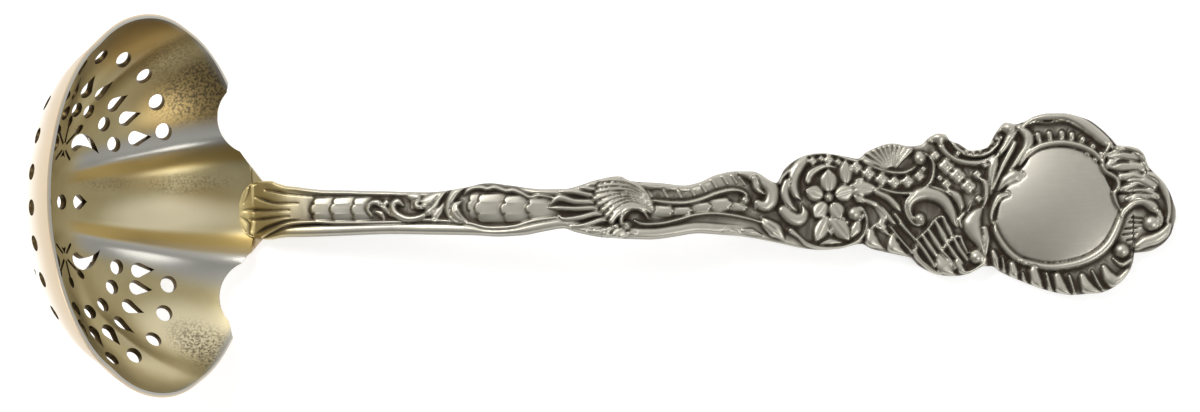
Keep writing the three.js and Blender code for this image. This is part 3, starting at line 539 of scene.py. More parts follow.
def sunburst_punches():
    bm = bmesh.new()
    for side in (1, -1):
        centre = (-FLUTE_CENTRE - SUNBURST_BACK, side * SUNBURST + PATTERN_ASIDE)
        for degrees in PIN_RAYS + SLIT_RAYS:
            angle = math.radians(degrees + side * 90)
            ray = (math.cos(angle), math.sin(angle))
            x = centre[0] + SUNBURST_START * ray[0]
            y = centre[1] + SUNBURST_START * ray[1]
            outline = pin_outline() if degrees in PIN_RAYS else slit_outline(SHORT_SLIT)
            punch(bm, outline, x, y, ray, SLIT_MOUTH)
        punch(bm, pendant_outline(), centre[0], centre[1], (0, side), SLIT_MOUTH)
        for hand in (1, -1):
            punch(bm, comma_outline(hand), centre[0], centre[1], (0, side), COMMA_MOUTH)
    return tool_from(bm)


# The lap plane touches the inner face of the bowl at the middle of its back rim


def lap_frame():
    x, y = np.array([RIM_BACK]), np.array([0.0])
    point = Vector(place_points(pressed_points(x, y, 0 * x), BOWL_MATRIX)[0])
    up = BOWL_MATRIX.to_3x3() @ Vector(dome_normal(x, y)[0])
    up.y = 0
    up.normalize()
    across = Vector((0, 1, 0))
    along = across.cross(up)
    place = Matrix((along, across, up)).transposed().to_4x4()
    place.translation = Vector((point.x, SHIFT.y, point.z))
    return place


LAP = lap_frame()


def block(low, high, matrix):
    bm = bmesh.new()
    middle = (Vector(low) + Vector(high)) / 2
    size = Vector(high) - Vector(low)
    shape = Matrix.Translation(middle) @ Matrix.Diagonal(size.to_4d())
    bmesh.ops.create_cube(bm, size=1, matrix=matrix @ shape)
    return tool_from(bm)


# Each bite's arc ends near the rim, at this angle in degrees, and a straight cut leaves from there

BITE_END = -224
BITE_STEPS = 24
NECK_STEPS = 8


def trim_outline(side):
    """What is cut from the plate on one side of the neck, with the round bite beside it."""
    middle = side * ROOT_MIDDLE
    inner, bend, turn, flare = [(x, y + side * NECK_ASIDE) for x, y in NECK_EDGE]
    end = LAP.translation.x - SHIFT.x + LAP_LENGTH + WALL
    cusp = (BITE_X - CUSP_SETBACK, CUSP_SPREAD + middle)
    bite = (BITE_X, BITE_SPREAD + middle)
    start = math.degrees(math.atan2(cusp[1] - bite[1], cusp[0] - bite[0]))
    neck = curve_points([(inner, bend, turn), (turn, flare, cusp)], NECK_STEPS)
    far = bite[1] + BITE_RADIUS + RIM_HALF_WIDTH / 2
    round_bite = arc(BITE_RADIUS, start, BITE_END, BITE_STEPS, bite)
    outline = [(end, inner[1])] + neck + round_bite + [(bite[0], far), (end, far)]
    return [(x + SHIFT.x, side * y + SHIFT.y) for x, y in outline]


def root_trim(side):
    bm = bmesh.new()
    outline_prism(bm, trim_outline(side), Matrix.Identity(4), [(-RIM_HALF_WIDTH, 0), (2 * RIM_HALF_WIDTH, 0)])
    return tool_from(bm)


# Handle outline: share of the handle's length, then share of the terminal's width

UPPER_EDGE = [
    (-0.026, 0.07), (-0.022, 0.13), (-0.014, 0.172), (-0.004, 0.188), (0.004, 0.19), (0.011, 0.188),
    (0.016, 0.176), (0.022, 0.166), (0.028, 0.158), (0.038, 0.152), (0.049, 0.143), (0.07, 0.131),
    (0.092, 0.127), (0.114, 0.121), (0.134, 0.117), (0.186, 0.106), (0.22, 0.123), (0.249, 0.149),
    (0.27, 0.136), (0.311, 0.11), (0.332, 0.11), (0.348, 0.128), (0.364, 0.154), (0.391, 0.175),
    (0.404, 0.149), (0.437, 0.137), (0.461, 0.124), (0.477, 0.139), (0.496, 0.18), (0.517, 0.2),
    (0.537, 0.198), (0.562, 0.136), (0.572, 0.214), (0.583, 0.258), (0.594, 0.284), (0.61, 0.297),
    (0.638, 0.279), (0.652, 0.266), (0.663, 0.305), (0.69, 0.348), (0.711, 0.332), (0.722, 0.34),
    (0.733, 0.386), (0.741, 0.4), (0.749, 0.396), (0.754, 0.361), (0.764, 0.343), (0.777, 0.305),
    (0.788, 0.31), (0.797, 0.331), (0.803, 0.385), (0.809, 0.43), (0.815, 0.457), (0.826, 0.448),
    (0.836, 0.461), (0.848, 0.491), (0.862, 0.504), (0.878, 0.504), (0.892, 0.491), (0.907, 0.465),
    (0.921, 0.413), (0.932, 0.357), (0.938, 0.323), (0.948, 0.318), (0.959, 0.305), (0.966, 0.275),
    (0.97, 0.216), (0.979, 0.162), (0.988, 0.115), (0.994, 0.065), (1, -0.024),
]
LOWER_EDGE = [
    (-0.026, -0.035), (-0.022, -0.08), (-0.014, -0.112), (-0.004, -0.124), (0.002, -0.13),
    (0.009, -0.131), (0.016, -0.126), (0.027, -0.12), (0.045, -0.121), (0.084, -0.119), (0.134, -0.115),
    (0.185, -0.123), (0.234, -0.132), (0.26, -0.141), (0.286, -0.136), (0.311, -0.115), (0.33, -0.102),
    (0.343, -0.123), (0.373, -0.154), (0.426, -0.167), (0.449, -0.154), (0.476, -0.136), (0.502, -0.145),
    (0.523, -0.154), (0.556, -0.184), (0.592, -0.223), (0.611, -0.232), (0.629, -0.227), (0.655, -0.201),
    (0.666, -0.227), (0.691, -0.258), (0.709, -0.279), (0.718, -0.323), (0.73, -0.357), (0.739, -0.374),
    (0.757, -0.383), (0.771, -0.374), (0.782, -0.348), (0.79, -0.331), (0.798, -0.331), (0.809, -0.366),
    (0.834, -0.422), (0.852, -0.457), (0.87, -0.483), (0.886, -0.496), (0.901, -0.491), (0.915, -0.487),
    (0.928, -0.465), (0.939, -0.426), (0.948, -0.374), (0.953, -0.314), (0.954, -0.271), (0.97, -0.262),
    (0.983, -0.232), (0.994, -0.175), (1, -0.09),
]
TONGUE_START = UPPER_EDGE[0][0]


def hermite(t, span, start, start_slope, end, end_slope=0):
    """A smooth line between two heights, with its slope given at both ends."""
    return (
        (2 * t**3 - 3 * t**2 + 1) * start + (t**3 - 2 * t**2 + t) * span * start_slope
        + (3 * t**2 - 2 * t**3) * end + (t**3 - t**2) * span * end_slope
    )


def smooth_edge(shares, table):
    """A smooth line through the table's places that never swings past them."""
    places = np.array([entry[0] for entry in table])
    widths = np.array([entry[1] for entry in table]) * TERMINAL_WIDTH
    steps = np.diff(widths) / np.diff(places)
    slopes = np.zeros(len(places))
    same_way = steps[:-1] * steps[1:] > 0
    total = np.where(same_way, steps[:-1] + steps[1:], 1)
    slopes[1:-1] = np.where(same_way, 2 * steps[:-1] * steps[1:] / total, 0)
    slopes[0], slopes[-1] = steps[0], steps[-1]
    after = np.clip(np.searchsorted(places, shares), 1, len(places) - 1)
    before = after - 1
    span = places[after] - places[before]
    t = np.clip((shares - places[before]) / span, 0, 1)
    return hermite(t, span, widths[before], slopes[before], widths[after], slopes[after])


def share_at(x):
    return (x - ROOT_X) / HANDLE_LENGTH


def x_at(share):
    return ROOT_X + share * HANDLE_LENGTH


# Underside: along the lap plane, up over the arch, and down to the table

LAP_UP = LAP.col[2].to_3d()
LAP_ALONG = LAP.col[0].to_3d()
LAP_SLOPE = LAP_ALONG.z / LAP_ALONG.x
LAP_BASE_X = LAP.translation.x
LAP_BASE_Z = LAP.translation.z - WALL / LAP_UP.z


def slope_between(x, start_x, start_z, start_slope, end_x, end_z):
    span = end_x - start_x
    return hermite(np.clip((x - start_x) / span, 0, 1), span, start_z, start_slope, end_z)


def underside_at(x):
    crest, land = x_at(ARCH_CREST), x_at(ARCH_LAND)
    lap = LAP_BASE_Z + (x - LAP_BASE_X) * LAP_SLOPE
    rise = slope_between(x, LAP_BASE_X, LAP_BASE_Z, LAP_SLOPE, crest, ARCH_HEIGHT)
    fall = slope_between(x, crest, ARCH_HEIGHT, 0, land, 0)
    return np.where(x <= LAP_BASE_X, lap, np.where(x <= crest, rise, np.where(x <= land, fall, 0)))


def top_at(x):
    part = smoothstep(share_at(x), STEM_END, TERMINAL_START)
    return underside_at(x) + STEM_THICKNESS + (TERMINAL_THICKNESS - STEM_THICKNESS) * part


# Drawing grids of the relief: where each section starts along the handle, its top edge and its pitch

GRID_TILT = 0.0118
SECTIONS = {
    "root": (-46.524, 6.26, 0.01617), "stem": (-22.431, 5.976, 0.01617), "knot": (-0.24, 7.616, 0.01537),
    "bloom": (19.415, 11.188, 0.01456), "fan": (37.802, 13.507, 0.01698), "panel": (54.286, 12.045, 0.01617),
}


def drawn(section, x, y):
    start, top, pitch = SECTIONS[section]
    return start + pitch * x + SHIFT.x, top - pitch * (y + GRID_TILT * x) + SHIFT.y


# Relief strokes: places on the drawing grid of their section, widths in grid units, height in mm

RELIEF = [
    # Grooves of the leafy tongue
    ("root", [
        ([(240, 185), (350, 203), (430, 222), (640, 243)], [16, 24, 12, 8], -0.35),
        ([(155, 240), (240, 264), (320, 288), (500, 294)], [10, 30, 20, 8], -0.4),
        ([(60, 345), (150, 340), (260, 345), (430, 347)], [10, 30, 20, 8], -0.4),
        ([(110, 415), (220, 411), (330, 400), (430, 397)], [14, 26, 18, 8], -0.4),
        ([(140, 540), (220, 492), (320, 455), (430, 428), (560, 428)], [10, 30, 24, 14, 8], -0.4),
        ([(165, 572), (300, 520), (430, 480), (620, 462), (900, 464), (1200, 456), (1568, 446)],
            [20, 26, 20, 18, 18, 16, 16], -0.3),
        ([(40, 400), (100, 450), (90, 540), (125, 590)], [10, 16, 16, 14], -0.35),
        ([(110, 125), (98, 190), (60, 285)], [8, 14, 8], -0.2),
    ]),
    # Line under the husks
    ("root", [
        ([(200, 548), (300, 498), (430, 452), (620, 440), (830, 448), (1290, 447), (1568, 428)],
            [27, 32, 32, 30, 30, 30, 30], 0.5),
    ]),
    # Lines round the husks
    ("stem", [
        ([(0, 432), (200, 446), (350, 462), (500, 498), (700, 490), (850, 448), (1040, 420)],
            [30, 32, 32, 35, 35, 35, 32], 0.55),
        ([(320, 240), (345, 212), (390, 190), (450, 186), (500, 197), (560, 187), (640, 213), (700, 210),
            (760, 232), (830, 265), (900, 252), (1010, 268)],
            [19, 30, 32, 32, 32, 32, 32, 32, 32, 32, 30, 24], 0.7),
    ]),
    # Lines beside the husks
    ("knot", [
        ([(280, 592), (350, 618), (500, 612), (640, 580), (760, 545), (900, 528), (1050, 538),
            (1200, 566), (1330, 602)], [28, 32, 30, 30, 30, 30, 30, 30, 26], 0.65),
        ([(440, 428), (560, 442), (700, 442), (830, 412), (950, 365), (1060, 338), (1140, 340),
            (1195, 365), (1210, 400)], [30, 38, 38, 38, 38, 38, 34, 30, 28], 0.8),
    ]),
    # Husks
    ("root", [([root, free], [width], height, "husk") for root, free, width, height in (
        ((770, 342), (590, 342), 184, 0.75), ((935, 342), (742, 342), 188, 0.75),
        ((1060, 345), (912, 345), 184, 0.75),
    )]),
    # Husks
    ("stem", [([root, free], [width], height, "husk") for root, free, width, height in (
        ((615, 345), (390, 345), 224, 0.8), ((815, 352), (592, 352), 210, 0.8),
        ((990, 352), (788, 352), 168, 0.8), ((470, 330), (335, 330), 190, 0.45),
    )]),
    # Husks
    ("knot", [([root, free], [width], height, "husk") for root, free, width, height in (
        ((460, 510), (615, 512), 100, 0.75), ((600, 512), (768, 505), 76, 0.75),
        ((760, 490), (928, 468), 88, 0.75), ((905, 470), (1092, 445), 116, 0.75),
        ((1080, 470), (1222, 480), 80, 0.75),
    )]),
    # Small scrolls
    ("root", [
        ([(1080, 392), (1050, 345), (1078, 300), (1135, 297), (1185, 338), (1235, 388), (1300, 428)],
            [34, 44, 44, 56, 48, 36, 12], 0.8),
        ([(1195, 278), (1200, 298), (1160, 306)], [24, 50, 24], 0.5),
        ([(1115, 365), (1160, 385), (1180, 430)], [30, 50, 12], 0.5),
        ([(1330, 318), (1290, 290), (1252, 312), (1255, 360), (1300, 402), (1370, 425), (1450, 415),
            (1520, 378), (1568, 330)], [30, 56, 60, 66, 66, 56, 50, 44, 40], 0.9),
        ([(1380, 250), (1430, 265), (1400, 340)], [50, 90, 30], 0.55),
        ([(1500, 335), (1440, 330), (1435, 300), (1480, 285)], [40, 50, 44, 10], 0.85),
        ([(1540, 300), (1568, 270)], [60, 60], 0.5),
    ]),
    # Leaf scrolls
    ("stem", [
        ([(40, 372), (80, 335), (130, 262), (190, 200)], [70, 56, 34, 8], 0.8),
        ([(20, 300), (90, 250), (150, 220)], [90, 50, 10], 0.5),
        ([(90, 400), (150, 330), (170, 290)], [70, 40, 20], 0.4),
        ([(335, 178), (265, 212), (212, 280), (190, 350), (218, 410), (280, 448), (348, 446)],
            [14, 60, 70, 60, 60, 46, 10], 0.85),
        ([(310, 285), (252, 322), (248, 372), (285, 418), (345, 442)], [10, 56, 90, 64, 6], 1, "creased"),
    ]),
    # Tails of the shell
    ("stem", [
        ([(1500, 112), (1440, 132), (1380, 150)], [40, 34, 12], 0.7),
        ([(1480, 150), (1340, 200), (1240, 192), (1205, 212)], [46, 44, 34, 12], 0.7),
        ([(1400, 240), (1320, 250), (1200, 226), (1090, 218), (1058, 245)], [56, 50, 44, 40, 14], 0.7),
        ([(1400, 300), (1320, 300), (1180, 296), (1060, 268), (985, 318)], [50, 56, 50, 60, 20], 0.7),
        ([(1400, 350), (1320, 347), (1180, 352), (1050, 347), (975, 347)], [50, 50, 44, 44, 18], 0.7),
        ([(1400, 390), (1330, 392), (1200, 424), (1090, 432), (1052, 402)], [50, 50, 50, 40, 14], 0.7),
        ([(1440, 430), (1370, 442), (1250, 480), (1130, 492)], [50, 48, 44, 14], 0.7),
        ([(1500, 490), (1370, 528), (1280, 524)], [60, 44, 12], 0.7),
        ([(1568, 540), (1490, 572), (1400, 545)], [60, 54, 20], 0.7),
    ]),
    # Curl of the shell
    ("knot", [
        ([(395, 578), (345, 505), (265, 486), (195, 528), (172, 598), (212, 652), (244, 622), (215, 598)],
            [16, 44, 50, 50, 48, 40, 30, 24], 1.25), ([(40, 700), (80, 660)], [60, 50], 0.6),
        ([(120, 700), (190, 660)], [60, 50], 0.6), ([(230, 690), (280, 690)], [30, 30], 0.5),
    ]),
    # Nicks over the upper line
    ("knot", [([(x, y), (x - 40, y - 56)], [34, 18], 0.32) for x, y in (
        (424, 390), (554, 394), (664, 394), (774, 376), (866, 348), (956, 312), (1046, 282), (1124, 275),
        (1190, 290),
    )]),
    # Big scroll and buds
    ("knot", [
        ([(1150, 195), (1225, 215), (1310, 250), (1385, 290), (1412, 350), (1405, 420), (1370, 462),
            (1320, 462), (1285, 440), (1268, 505)], [40, 66, 120, 130, 122, 120, 108, 90, 60, 10], 1.1),
        ([(1270, 250), (1290, 320), (1345, 365)], [60, 70, 30], 1),
        ([(1005, 684), (1065, 665), (1140, 694)], [20, 48, 10], 0.5),
        ([(1175, 668), (1240, 675), (1330, 705)], [40, 56, 10], 0.5),
        ([(1332, 562), (1370, 615), (1430, 660), (1512, 742)], [14, 100, 130, 16], 0.95, "creased"),
    ]),
    # Scrolls round the flower
    ("bloom", [
        ([(210, 560), (240, 500), (320, 425), (400, 340), (480, 305), (600, 292), (700, 303), (800, 340),
            (900, 360)], [24, 26, 26, 26, 26, 26, 26, 26, 26], 0.75),
        ([(440, 352), (380, 410), (335, 490), (325, 570), (348, 650), (402, 705)],
            [60, 96, 104, 96, 76, 10], 0.95),
        ([(270, 545), (250, 640), (290, 740), (355, 795)], [70, 92, 76, 16], 0.85),
        ([(235, 790), (300, 850), (372, 872), (422, 820), (398, 728)], [100, 120, 124, 76, 8], 1),
        ([(705, 415), (620, 402), (545, 425), (480, 470), (455, 530)], [16, 44, 60, 76, 70], 0.85),
        ([(905, 870), (945, 815), (915, 765), (880, 760)], [36, 40, 40, 30], 0.8),
        ([(900, 760), (945, 795), (968, 870), (958, 960), (905, 1040), (820, 1088), (700, 1116),
            (560, 1114), (440, 1078), (365, 1015), (300, 965)],
            [30, 32, 32, 32, 32, 34, 36, 38, 38, 40, 60], 0.85),
        ([(890, 890), (870, 950), (830, 1010)], [60, 96, 40], 0.5),
        ([(560, 1080), (650, 1060), (740, 1065)], [20, 60, 20], 0.35),
    ]),
    # Leaves of the flower
    ("bloom", [
        ([(790, 560), (784, 345)], [130], 0.9, "petal"), ([(860, 605), (945, 500)], [100], 0.85, "petal"),
        ([(860, 615), (945, 728)], [100], 0.85, "petal"),
        ([(800, 590), (1075, 600)], [135], 0.95, "petal"),
        ([(665, 880), (648, 1010)], [80], 0.8, "petal"), ([(700, 880), (785, 862)], [80], 0.8, "petal"),
        ([(730, 930), (812, 880)], [60], 0.75, "petal"),
        ([(622, 835), (512, 1068)], [135], 0.95, "petal"),
        ([(650, 840), (818, 1052)], [150], 0.95, "petal"),
        ([(1000, 962), (1010, 1050), (1105, 1112)], [60, 120, 14], 0.9),
        ([(1190, 1012), (1200, 1100), (1312, 1172)], [60, 124, 14], 0.9),
        ([(1000, 940), (1060, 915), (1110, 950), (1160, 1000)], [10, 60, 70, 20], 0.6),
        ([(1090, 870), (1110, 930)], [20, 70], 0.6),
    ]),
    # Ribbons
    ("bloom", [
        ([(1060, 628), (1150, 672), (1225, 745), (1262, 790)], [60, 70, 70, 30], 0.8),
        ([(955, 700), (1050, 740), (1120, 800), (1190, 880), (1215, 900)], [50, 64, 60, 50, 30], 0.65),
        ([(1060, 760), (1110, 850), (1090, 900)], [60, 70, 60], 0.5),
        ([(1175, 930), (1260, 1040), (1360, 1150)], [26, 30, 26], 0.75),
        ([(1215, 820), (1290, 920), (1400, 1060)], [40, 40, 36], 0.75),
        ([(1395, 1100), (1400, 1190), (1490, 1270), (1560, 1330)], [40, 40, 40, 40], 0.8),
        ([(920, 340), (1000, 392), (1100, 432), (1200, 456), (1300, 455), (1370, 424), (1402, 398)],
            [26, 34, 34, 34, 34, 32, 20], 0.85),
        ([(1485, 285), (1540, 330), (1560, 420), (1535, 530), (1465, 598), (1380, 630), (1270, 636),
            (1170, 620), (1075, 588)], [20, 36, 38, 38, 38, 36, 34, 34, 28], 0.9),
        ([(830, 385), (900, 425), (990, 470)], [20, 30, 20], 0.45),
    ]),
    # Crescent scroll and open fan
    ("fan", [
        ([(108, 905), (64, 832), (78, 752), (148, 702), (236, 700), (318, 740), (372, 815), (404, 900),
            (430, 955)], [30, 50, 80, 110, 116, 104, 84, 60, 10], 1.05),
        ([(95, 690), (40, 760), (45, 850), (100, 925), (165, 920), (182, 872)], [16, 24, 26, 28, 28, 20],
            0.8), ([(370, 684), (425, 720), (455, 785), (450, 832)], [56, 76, 56, 10], 0.8),
        ([(230, 638), (320, 668), (375, 712)], [12, 18, 14], 0.6),
        ([(0, 925), (60, 990), (120, 1050)], [34, 34, 24], 0.85),
        ([(118, 1040), (200, 968), (260, 890), (320, 868), (345, 930)], [24, 26, 26, 26, 24], 0.8),
        ([(96, 1120), (150, 1200), (230, 1270), (290, 1300)], [35, 35, 38, 32], 0.8),
        ([(122, 1048), (180, 1130), (250, 1240)], [32, 40, 35], 0.75),
        ([(160, 1000), (215, 1090), (290, 1190)], [32, 49, 38], 0.75),
        ([(205, 960), (265, 1060), (325, 1150)], [32, 54, 38], 0.75),
        ([(262, 900), (320, 1010), (350, 1080)], [32, 59, 40], 0.75),
        ([(320, 880), (360, 960), (395, 1040)], [32, 49, 35], 0.75),
        ([(305, 1130), (350, 1064), (410, 1020), (452, 1018)], [30, 35, 35, 30], 0.8),
        ([(312, 1130), (360, 1190), (400, 1250)], [30, 40, 32], 0.75),
        ([(350, 1070), (400, 1150), (455, 1220)], [30, 46, 35], 0.75),
        ([(400, 1030), (440, 1110), (495, 1190)], [30, 46, 35], 0.75),
        ([(448, 1020), (470, 1080), (500, 1140)], [30, 35, 22], 0.75),
        ([(285, 1170), (320, 1240), (400, 1310)], [60, 120, 24], 0.85),
        ([(415, 1205), (450, 1260), (490, 1300)], [40, 60, 30], 0.75),
        ([(470, 1290), (545, 1282), (605, 1240), (620, 1175), (580, 1128), (530, 1140)],
            [20, 56, 64, 56, 50, 40], 0.95),
    ]),
    # Pod
    ("fan", [
        ([(618, 800), (570, 850), (535, 920), (555, 990), (600, 1070), (640, 1165)],
            [14, 90, 150, 124, 80, 10], 1.1), ([(478, 842), (442, 890), (455, 950)], [30, 44, 20], 0.7),
        ([(630, 955), (645, 1040), (640, 1150)], [50, 60, 16], 0.75),
        ([(540, 760), (505, 830)], [14, 20], 0.6),
    ]),
    # Bands of the notch
    ("fan", [
        ([(300, 300), (330, 370), (390, 425), (470, 458), (560, 468), (640, 455), (710, 415)],
            [60, 50, 48, 48, 48, 44, 30], 0.95),
        ([(388, 300), (425, 355), (490, 398), (580, 412), (660, 395), (725, 340), (765, 275)],
            [26, 30, 32, 32, 32, 32, 30], 0.75), ([(240, 300), (290, 260), (350, 285)], [50, 110, 40], 1),
        ([(750, 225), (800, 195), (852, 205), (838, 260), (800, 330), (762, 380), (725, 425)],
            [30, 60, 84, 80, 62, 50, 24], 1),
    ]),
    # Leaf spray
    ("fan", [
        ([(705, 905), (715, 985), (770, 1085), (845, 1165), (925, 1212)], [20, 50, 56, 56, 56], 0.95),
        ([(735, 405), (702, 480), (686, 580), (682, 700)], [16, 86, 64, 20], 0.9),
        ([(866, 315), (832, 380), (782, 470), (740, 560), (700, 660)], [40, 50, 44, 34, 16], 0.8),
        ([(905, 205), (965, 268), (958, 350), (905, 420), (845, 500), (760, 610)],
            [56, 90, 84, 60, 36, 12], 0.95),
        ([(932, 560), (862, 562), (795, 600), (735, 675)], [12, 100, 86, 16], 0.9),
        ([(800, 702), (742, 722), (702, 790), (680, 870), (690, 925)], [40, 60, 44, 34, 12], 0.9),
        ([(600, 582), (642, 620), (645, 720), (622, 800)], [24, 50, 44, 16], 0.75),
    ]),
    # Ring and rim scrolls
    ("panel", [
        ([(-40, 120), (40, 64), (150, 42), (260, 46), (380, 86), (490, 156), (590, 240), (655, 292)],
            [30, 70, 84, 86, 92, 94, 84, 30], 0.9),
        ([(0, 110), (60, 92), (150, 98), (260, 82), (340, 104), (420, 150)], [10, 16, 18, 18, 16, 10],
            0.95),
        ([(640, 262), (600, 330), (575, 400), (592, 470), (640, 505), (690, 545), (694, 610), (662, 650),
            (676, 720), (712, 790)], [30, 40, 44, 44, 44, 44, 44, 40, 36, 24], 0.95),
        ([(740, 778), (700, 880), (650, 990), (590, 1075), (500, 1145), (400, 1190), (300, 1215),
            (180, 1230), (60, 1218), (-60, 1185)], [50, 62, 72, 76, 76, 74, 70, 66, 60, 56], 0.95),
        ([(720, 830), (765, 768), (830, 722), (900, 718), (965, 760), (1005, 810)],
            [40, 56, 70, 80, 90, 40], 1.05),
        ([(1010, 800), (1018, 860), (985, 905), (930, 900)], [50, 66, 80, 70], 1),
        ([(690, 300), (760, 285), (840, 310), (900, 380), (925, 465)], [40, 60, 76, 70, 40], 0.85),
        ([(915, 500), (985, 530), (1045, 600), (1080, 700), (1090, 800), (1075, 880)],
            [50, 70, 60, 44, 36, 30], 0.85),
        ([(1090, 900), (1050, 960), (980, 1005), (900, 1030), (840, 1065), (800, 1085)],
            [40, 84, 100, 96, 70, 16], 0.95),
    ]),
    # Folds inside the rim
    ("panel", [
        ([(650, 360), (720, 350), (850, 370)], [90, 110, 60], 0.6),
        ([(640, 430), (720, 440), (880, 450)], [90, 120, 90], 0.6),
        ([(720, 520), (820, 530), (960, 590)], [60, 110, 100], 0.6),
        ([(720, 620), (840, 620), (1000, 680)], [50, 110, 60], 0.55),
        ([(760, 700), (860, 670), (980, 690)], [40, 50, 20], 0.4),
    ]),
    # Grooves of the folds
    ("panel", [
        ([(635, 352), (730, 326), (812, 330)], [12, 18, 12], -0.3),
        ([(655, 430), (720, 400), (785, 405)], [20, 34, 16], -0.4),
        ([(620, 470), (740, 482), (850, 468)], [16, 20, 8], -0.3),
        ([(722, 575), (800, 534), (890, 540)], [12, 20, 8], -0.3),
        ([(768, 632), (855, 600), (935, 612)], [20, 34, 12], -0.4),
        ([(690, 655), (770, 650), (870, 650), (1010, 665)], [16, 20, 16, 8], -0.3),
    ]),
    # Row of short bars
    ("panel", [([top, foot], [56, 48], 0.65) for top, foot in (
        ((70, 190), (85, 250)), ((160, 180), (170, 240)), ((258, 176), (262, 236)),
        ((338, 188), (335, 246)), ((425, 225), (395, 282)), ((505, 282), (465, 335)),
        ((565, 345), (530, 385)),
    )]),
    # Gadroons
    ("fan", [
        ([(690, 1130), (705, 1180), (722, 1250)], [44, 60, 30], 0.85),
        ([(760, 1180), (775, 1270)], [26, 22], 0.7),
        ([(830, 1225), (845, 1290), (850, 1350)], [60, 74, 30], 0.85),
        ([(908, 1290), (935, 1380)], [26, 22], 0.7),
        ([(1000, 1320), (1020, 1380), (1035, 1430)], [64, 80, 40], 0.85),
        ([(1090, 1340), (1110, 1420)], [26, 22], 0.7),
    ]),
    # Gadroons
    ("panel", [
        ([(20, 1260), (45, 1350), (75, 1420)], [80, 90, 50], 0.85),
        ([(120, 1280), (165, 1440)], [30, 24], 0.7),
        ([(205, 1300), (235, 1390), (290, 1450)], [70, 96, 50], 0.85),
        ([(300, 1300), (345, 1450)], [34, 26], 0.7),
        ([(400, 1300), (440, 1390), (520, 1440)], [60, 104, 70], 0.9),
        ([(480, 1260), (540, 1380), (600, 1430)], [26, 30, 20], 0.7),
        ([(570, 1230), (620, 1320), (690, 1340), (760, 1260)], [50, 110, 100, 50], 0.9),
        ([(640, 1160), (715, 1212), (800, 1160)], [20, 46, 20], 0.75),
    ]),
    # Fine lines by the last scroll
    ("panel", [([top, foot], [15, 10], -0.45) for top, foot in (
        ((745, 930), (862, 920)), ((730, 975), (835, 965)), ((780, 878), (880, 884)),
        ((760, 1020), (820, 1010)), ((800, 840), (880, 850)),
    )]),
]

# Blossoms of the lattice and of the bands: place and size
BLOSSOMS = {
    "bloom": [
        (500, 362, 48), (640, 350, 54), (725, 366, 38), (880, 412, 62), (990, 466, 67), (1105, 516, 70),
        (1215, 542, 65), (1330, 532, 65), (1432, 486, 56), (1470, 424, 34), (575, 340, 33),
    ],
    "fan": [
        (350, 492, 68), (435, 562, 68), (516, 642, 64), (272, 408, 42), (350, 625, 45), (580, 552, 41),
        (588, 735, 36), (640, 482, 30), (300, 580, 30), (436, 400, 23),
    ],
}

# Round beads: place, radius and height
BEADS = {
    "knot": [
        (215, 625, 30, 1.35), (1190, 418, 40, 1),
    ],
    "bloom": [
        (637, 675, 45, 1.25), (862, 812, 66, 1.15), (1440, 330, 62, 1.2),
    ],
    "fan": [
        (145, 880, 46, 1.2), (304, 275, 56, 1.1), (822, 205, 52, 1.1), (565, 1170, 56, 1.2),
        (505, 384, 20, 0.9), (555, 388, 20, 0.9), (606, 376, 20, 0.9), (655, 348, 20, 0.9),
        (700, 318, 20, 0.9), (740, 290, 20, 0.9),
    ],
    "panel": [
        (715, 1100, 62, 1.15), (950, 885, 66, 1.15),
    ],
}


# The relief is one field of heights over the ground, in mm

FIELD_PITCH = 0.08
FIELD_START = Vector((x_at(TONGUE_START) - 1, -14))
FIELD_COLUMNS = 1530
FIELD_ROWS = 350
field = np.zeros((FIELD_COLUMNS, FIELD_ROWS))
field_x = FIELD_START.x + FIELD_PITCH * np.arange(FIELD_COLUMNS)
field_y = FIELD_START.y + FIELD_PITCH * np.arange(FIELD_ROWS)


def smooth_line(points, widths, step=0.09):
    """Close places on a smooth line through the points, with the width at each."""
    points, widths = np.array(points, float), np.array(widths, float)
    padded = np.vstack([2 * points[0] - points[1], points, 2 * points[-1] - points[-2]])
    places, sizes = [], []
    for at in range(len(points) - 1):
        a, b, c, d = padded[at:at + 4]
        count = max(2, int(np.linalg.norm(c - b) / step))
        t = (np.arange(count) / count)[:, None]
        places.append(hermite(t, 1, b, (c - a) / 2, c, (d - b) / 2))
        sizes.append(widths[at] + (widths[at + 1] - widths[at]) * t[:, 0])
    places.append(points[-1:])
    sizes.append(widths[-1:])
    return np.vstack(places), np.concatenate(sizes)


# Raised forms have broad tops and a narrow moat round them, and leaves have a crease along them

FLAT_TOP = 2.5
CREASE_WIDTH = 0.16
CREASE_DEPTH = 0.22
MOAT_WIDTH = 0.16
MOAT_DEPTH = 0.6
THINNEST_STROKE = 0.1
TAPER_CURVE = 0.4


def patch(low, high):
    """The part of the field between two corners, as slices."""
    low = ((np.array(low) - np.array(FIELD_START)) / FIELD_PITCH).astype(int)
    high = ((np.array(high) - np.array(FIELD_START)) / FIELD_PITCH).astype(int) + 2
    low, high = np.maximum(low, 0), np.minimum(high, (FIELD_COLUMNS, FIELD_ROWS))
    return slice(low[0], high[0]), slice(low[1], high[1])


def gaps(x, y, reach):
    """The part of the field round a place, and how far its points lie from the place."""
    spans = patch((x - reach, y - reach), (x + reach, y + reach))
    return spans, field_x[spans[0]][:, None] - x, field_y[spans[1]][None, :] - y


def along_axis(base, tip, width):
    """The part of the field round a line, with shares along it and distances aside from it."""
    base, tip = np.array(base), np.array(tip)
    length = np.linalg.norm(tip - base)
    ahead = (tip - base) / length
    spans, gap_x, gap_y = gaps(*(base + tip) / 2, max(length, width) + MOAT_WIDTH)
    gap_x, gap_y = gap_x + (tip[0] - base[0]) / 2, gap_y + (tip[1] - base[1]) / 2
    along = (gap_x * ahead[0] + gap_y * ahead[1]) / length
    return spans, length, along, np.abs(gap_y * ahead[0] - gap_x * ahead[1])


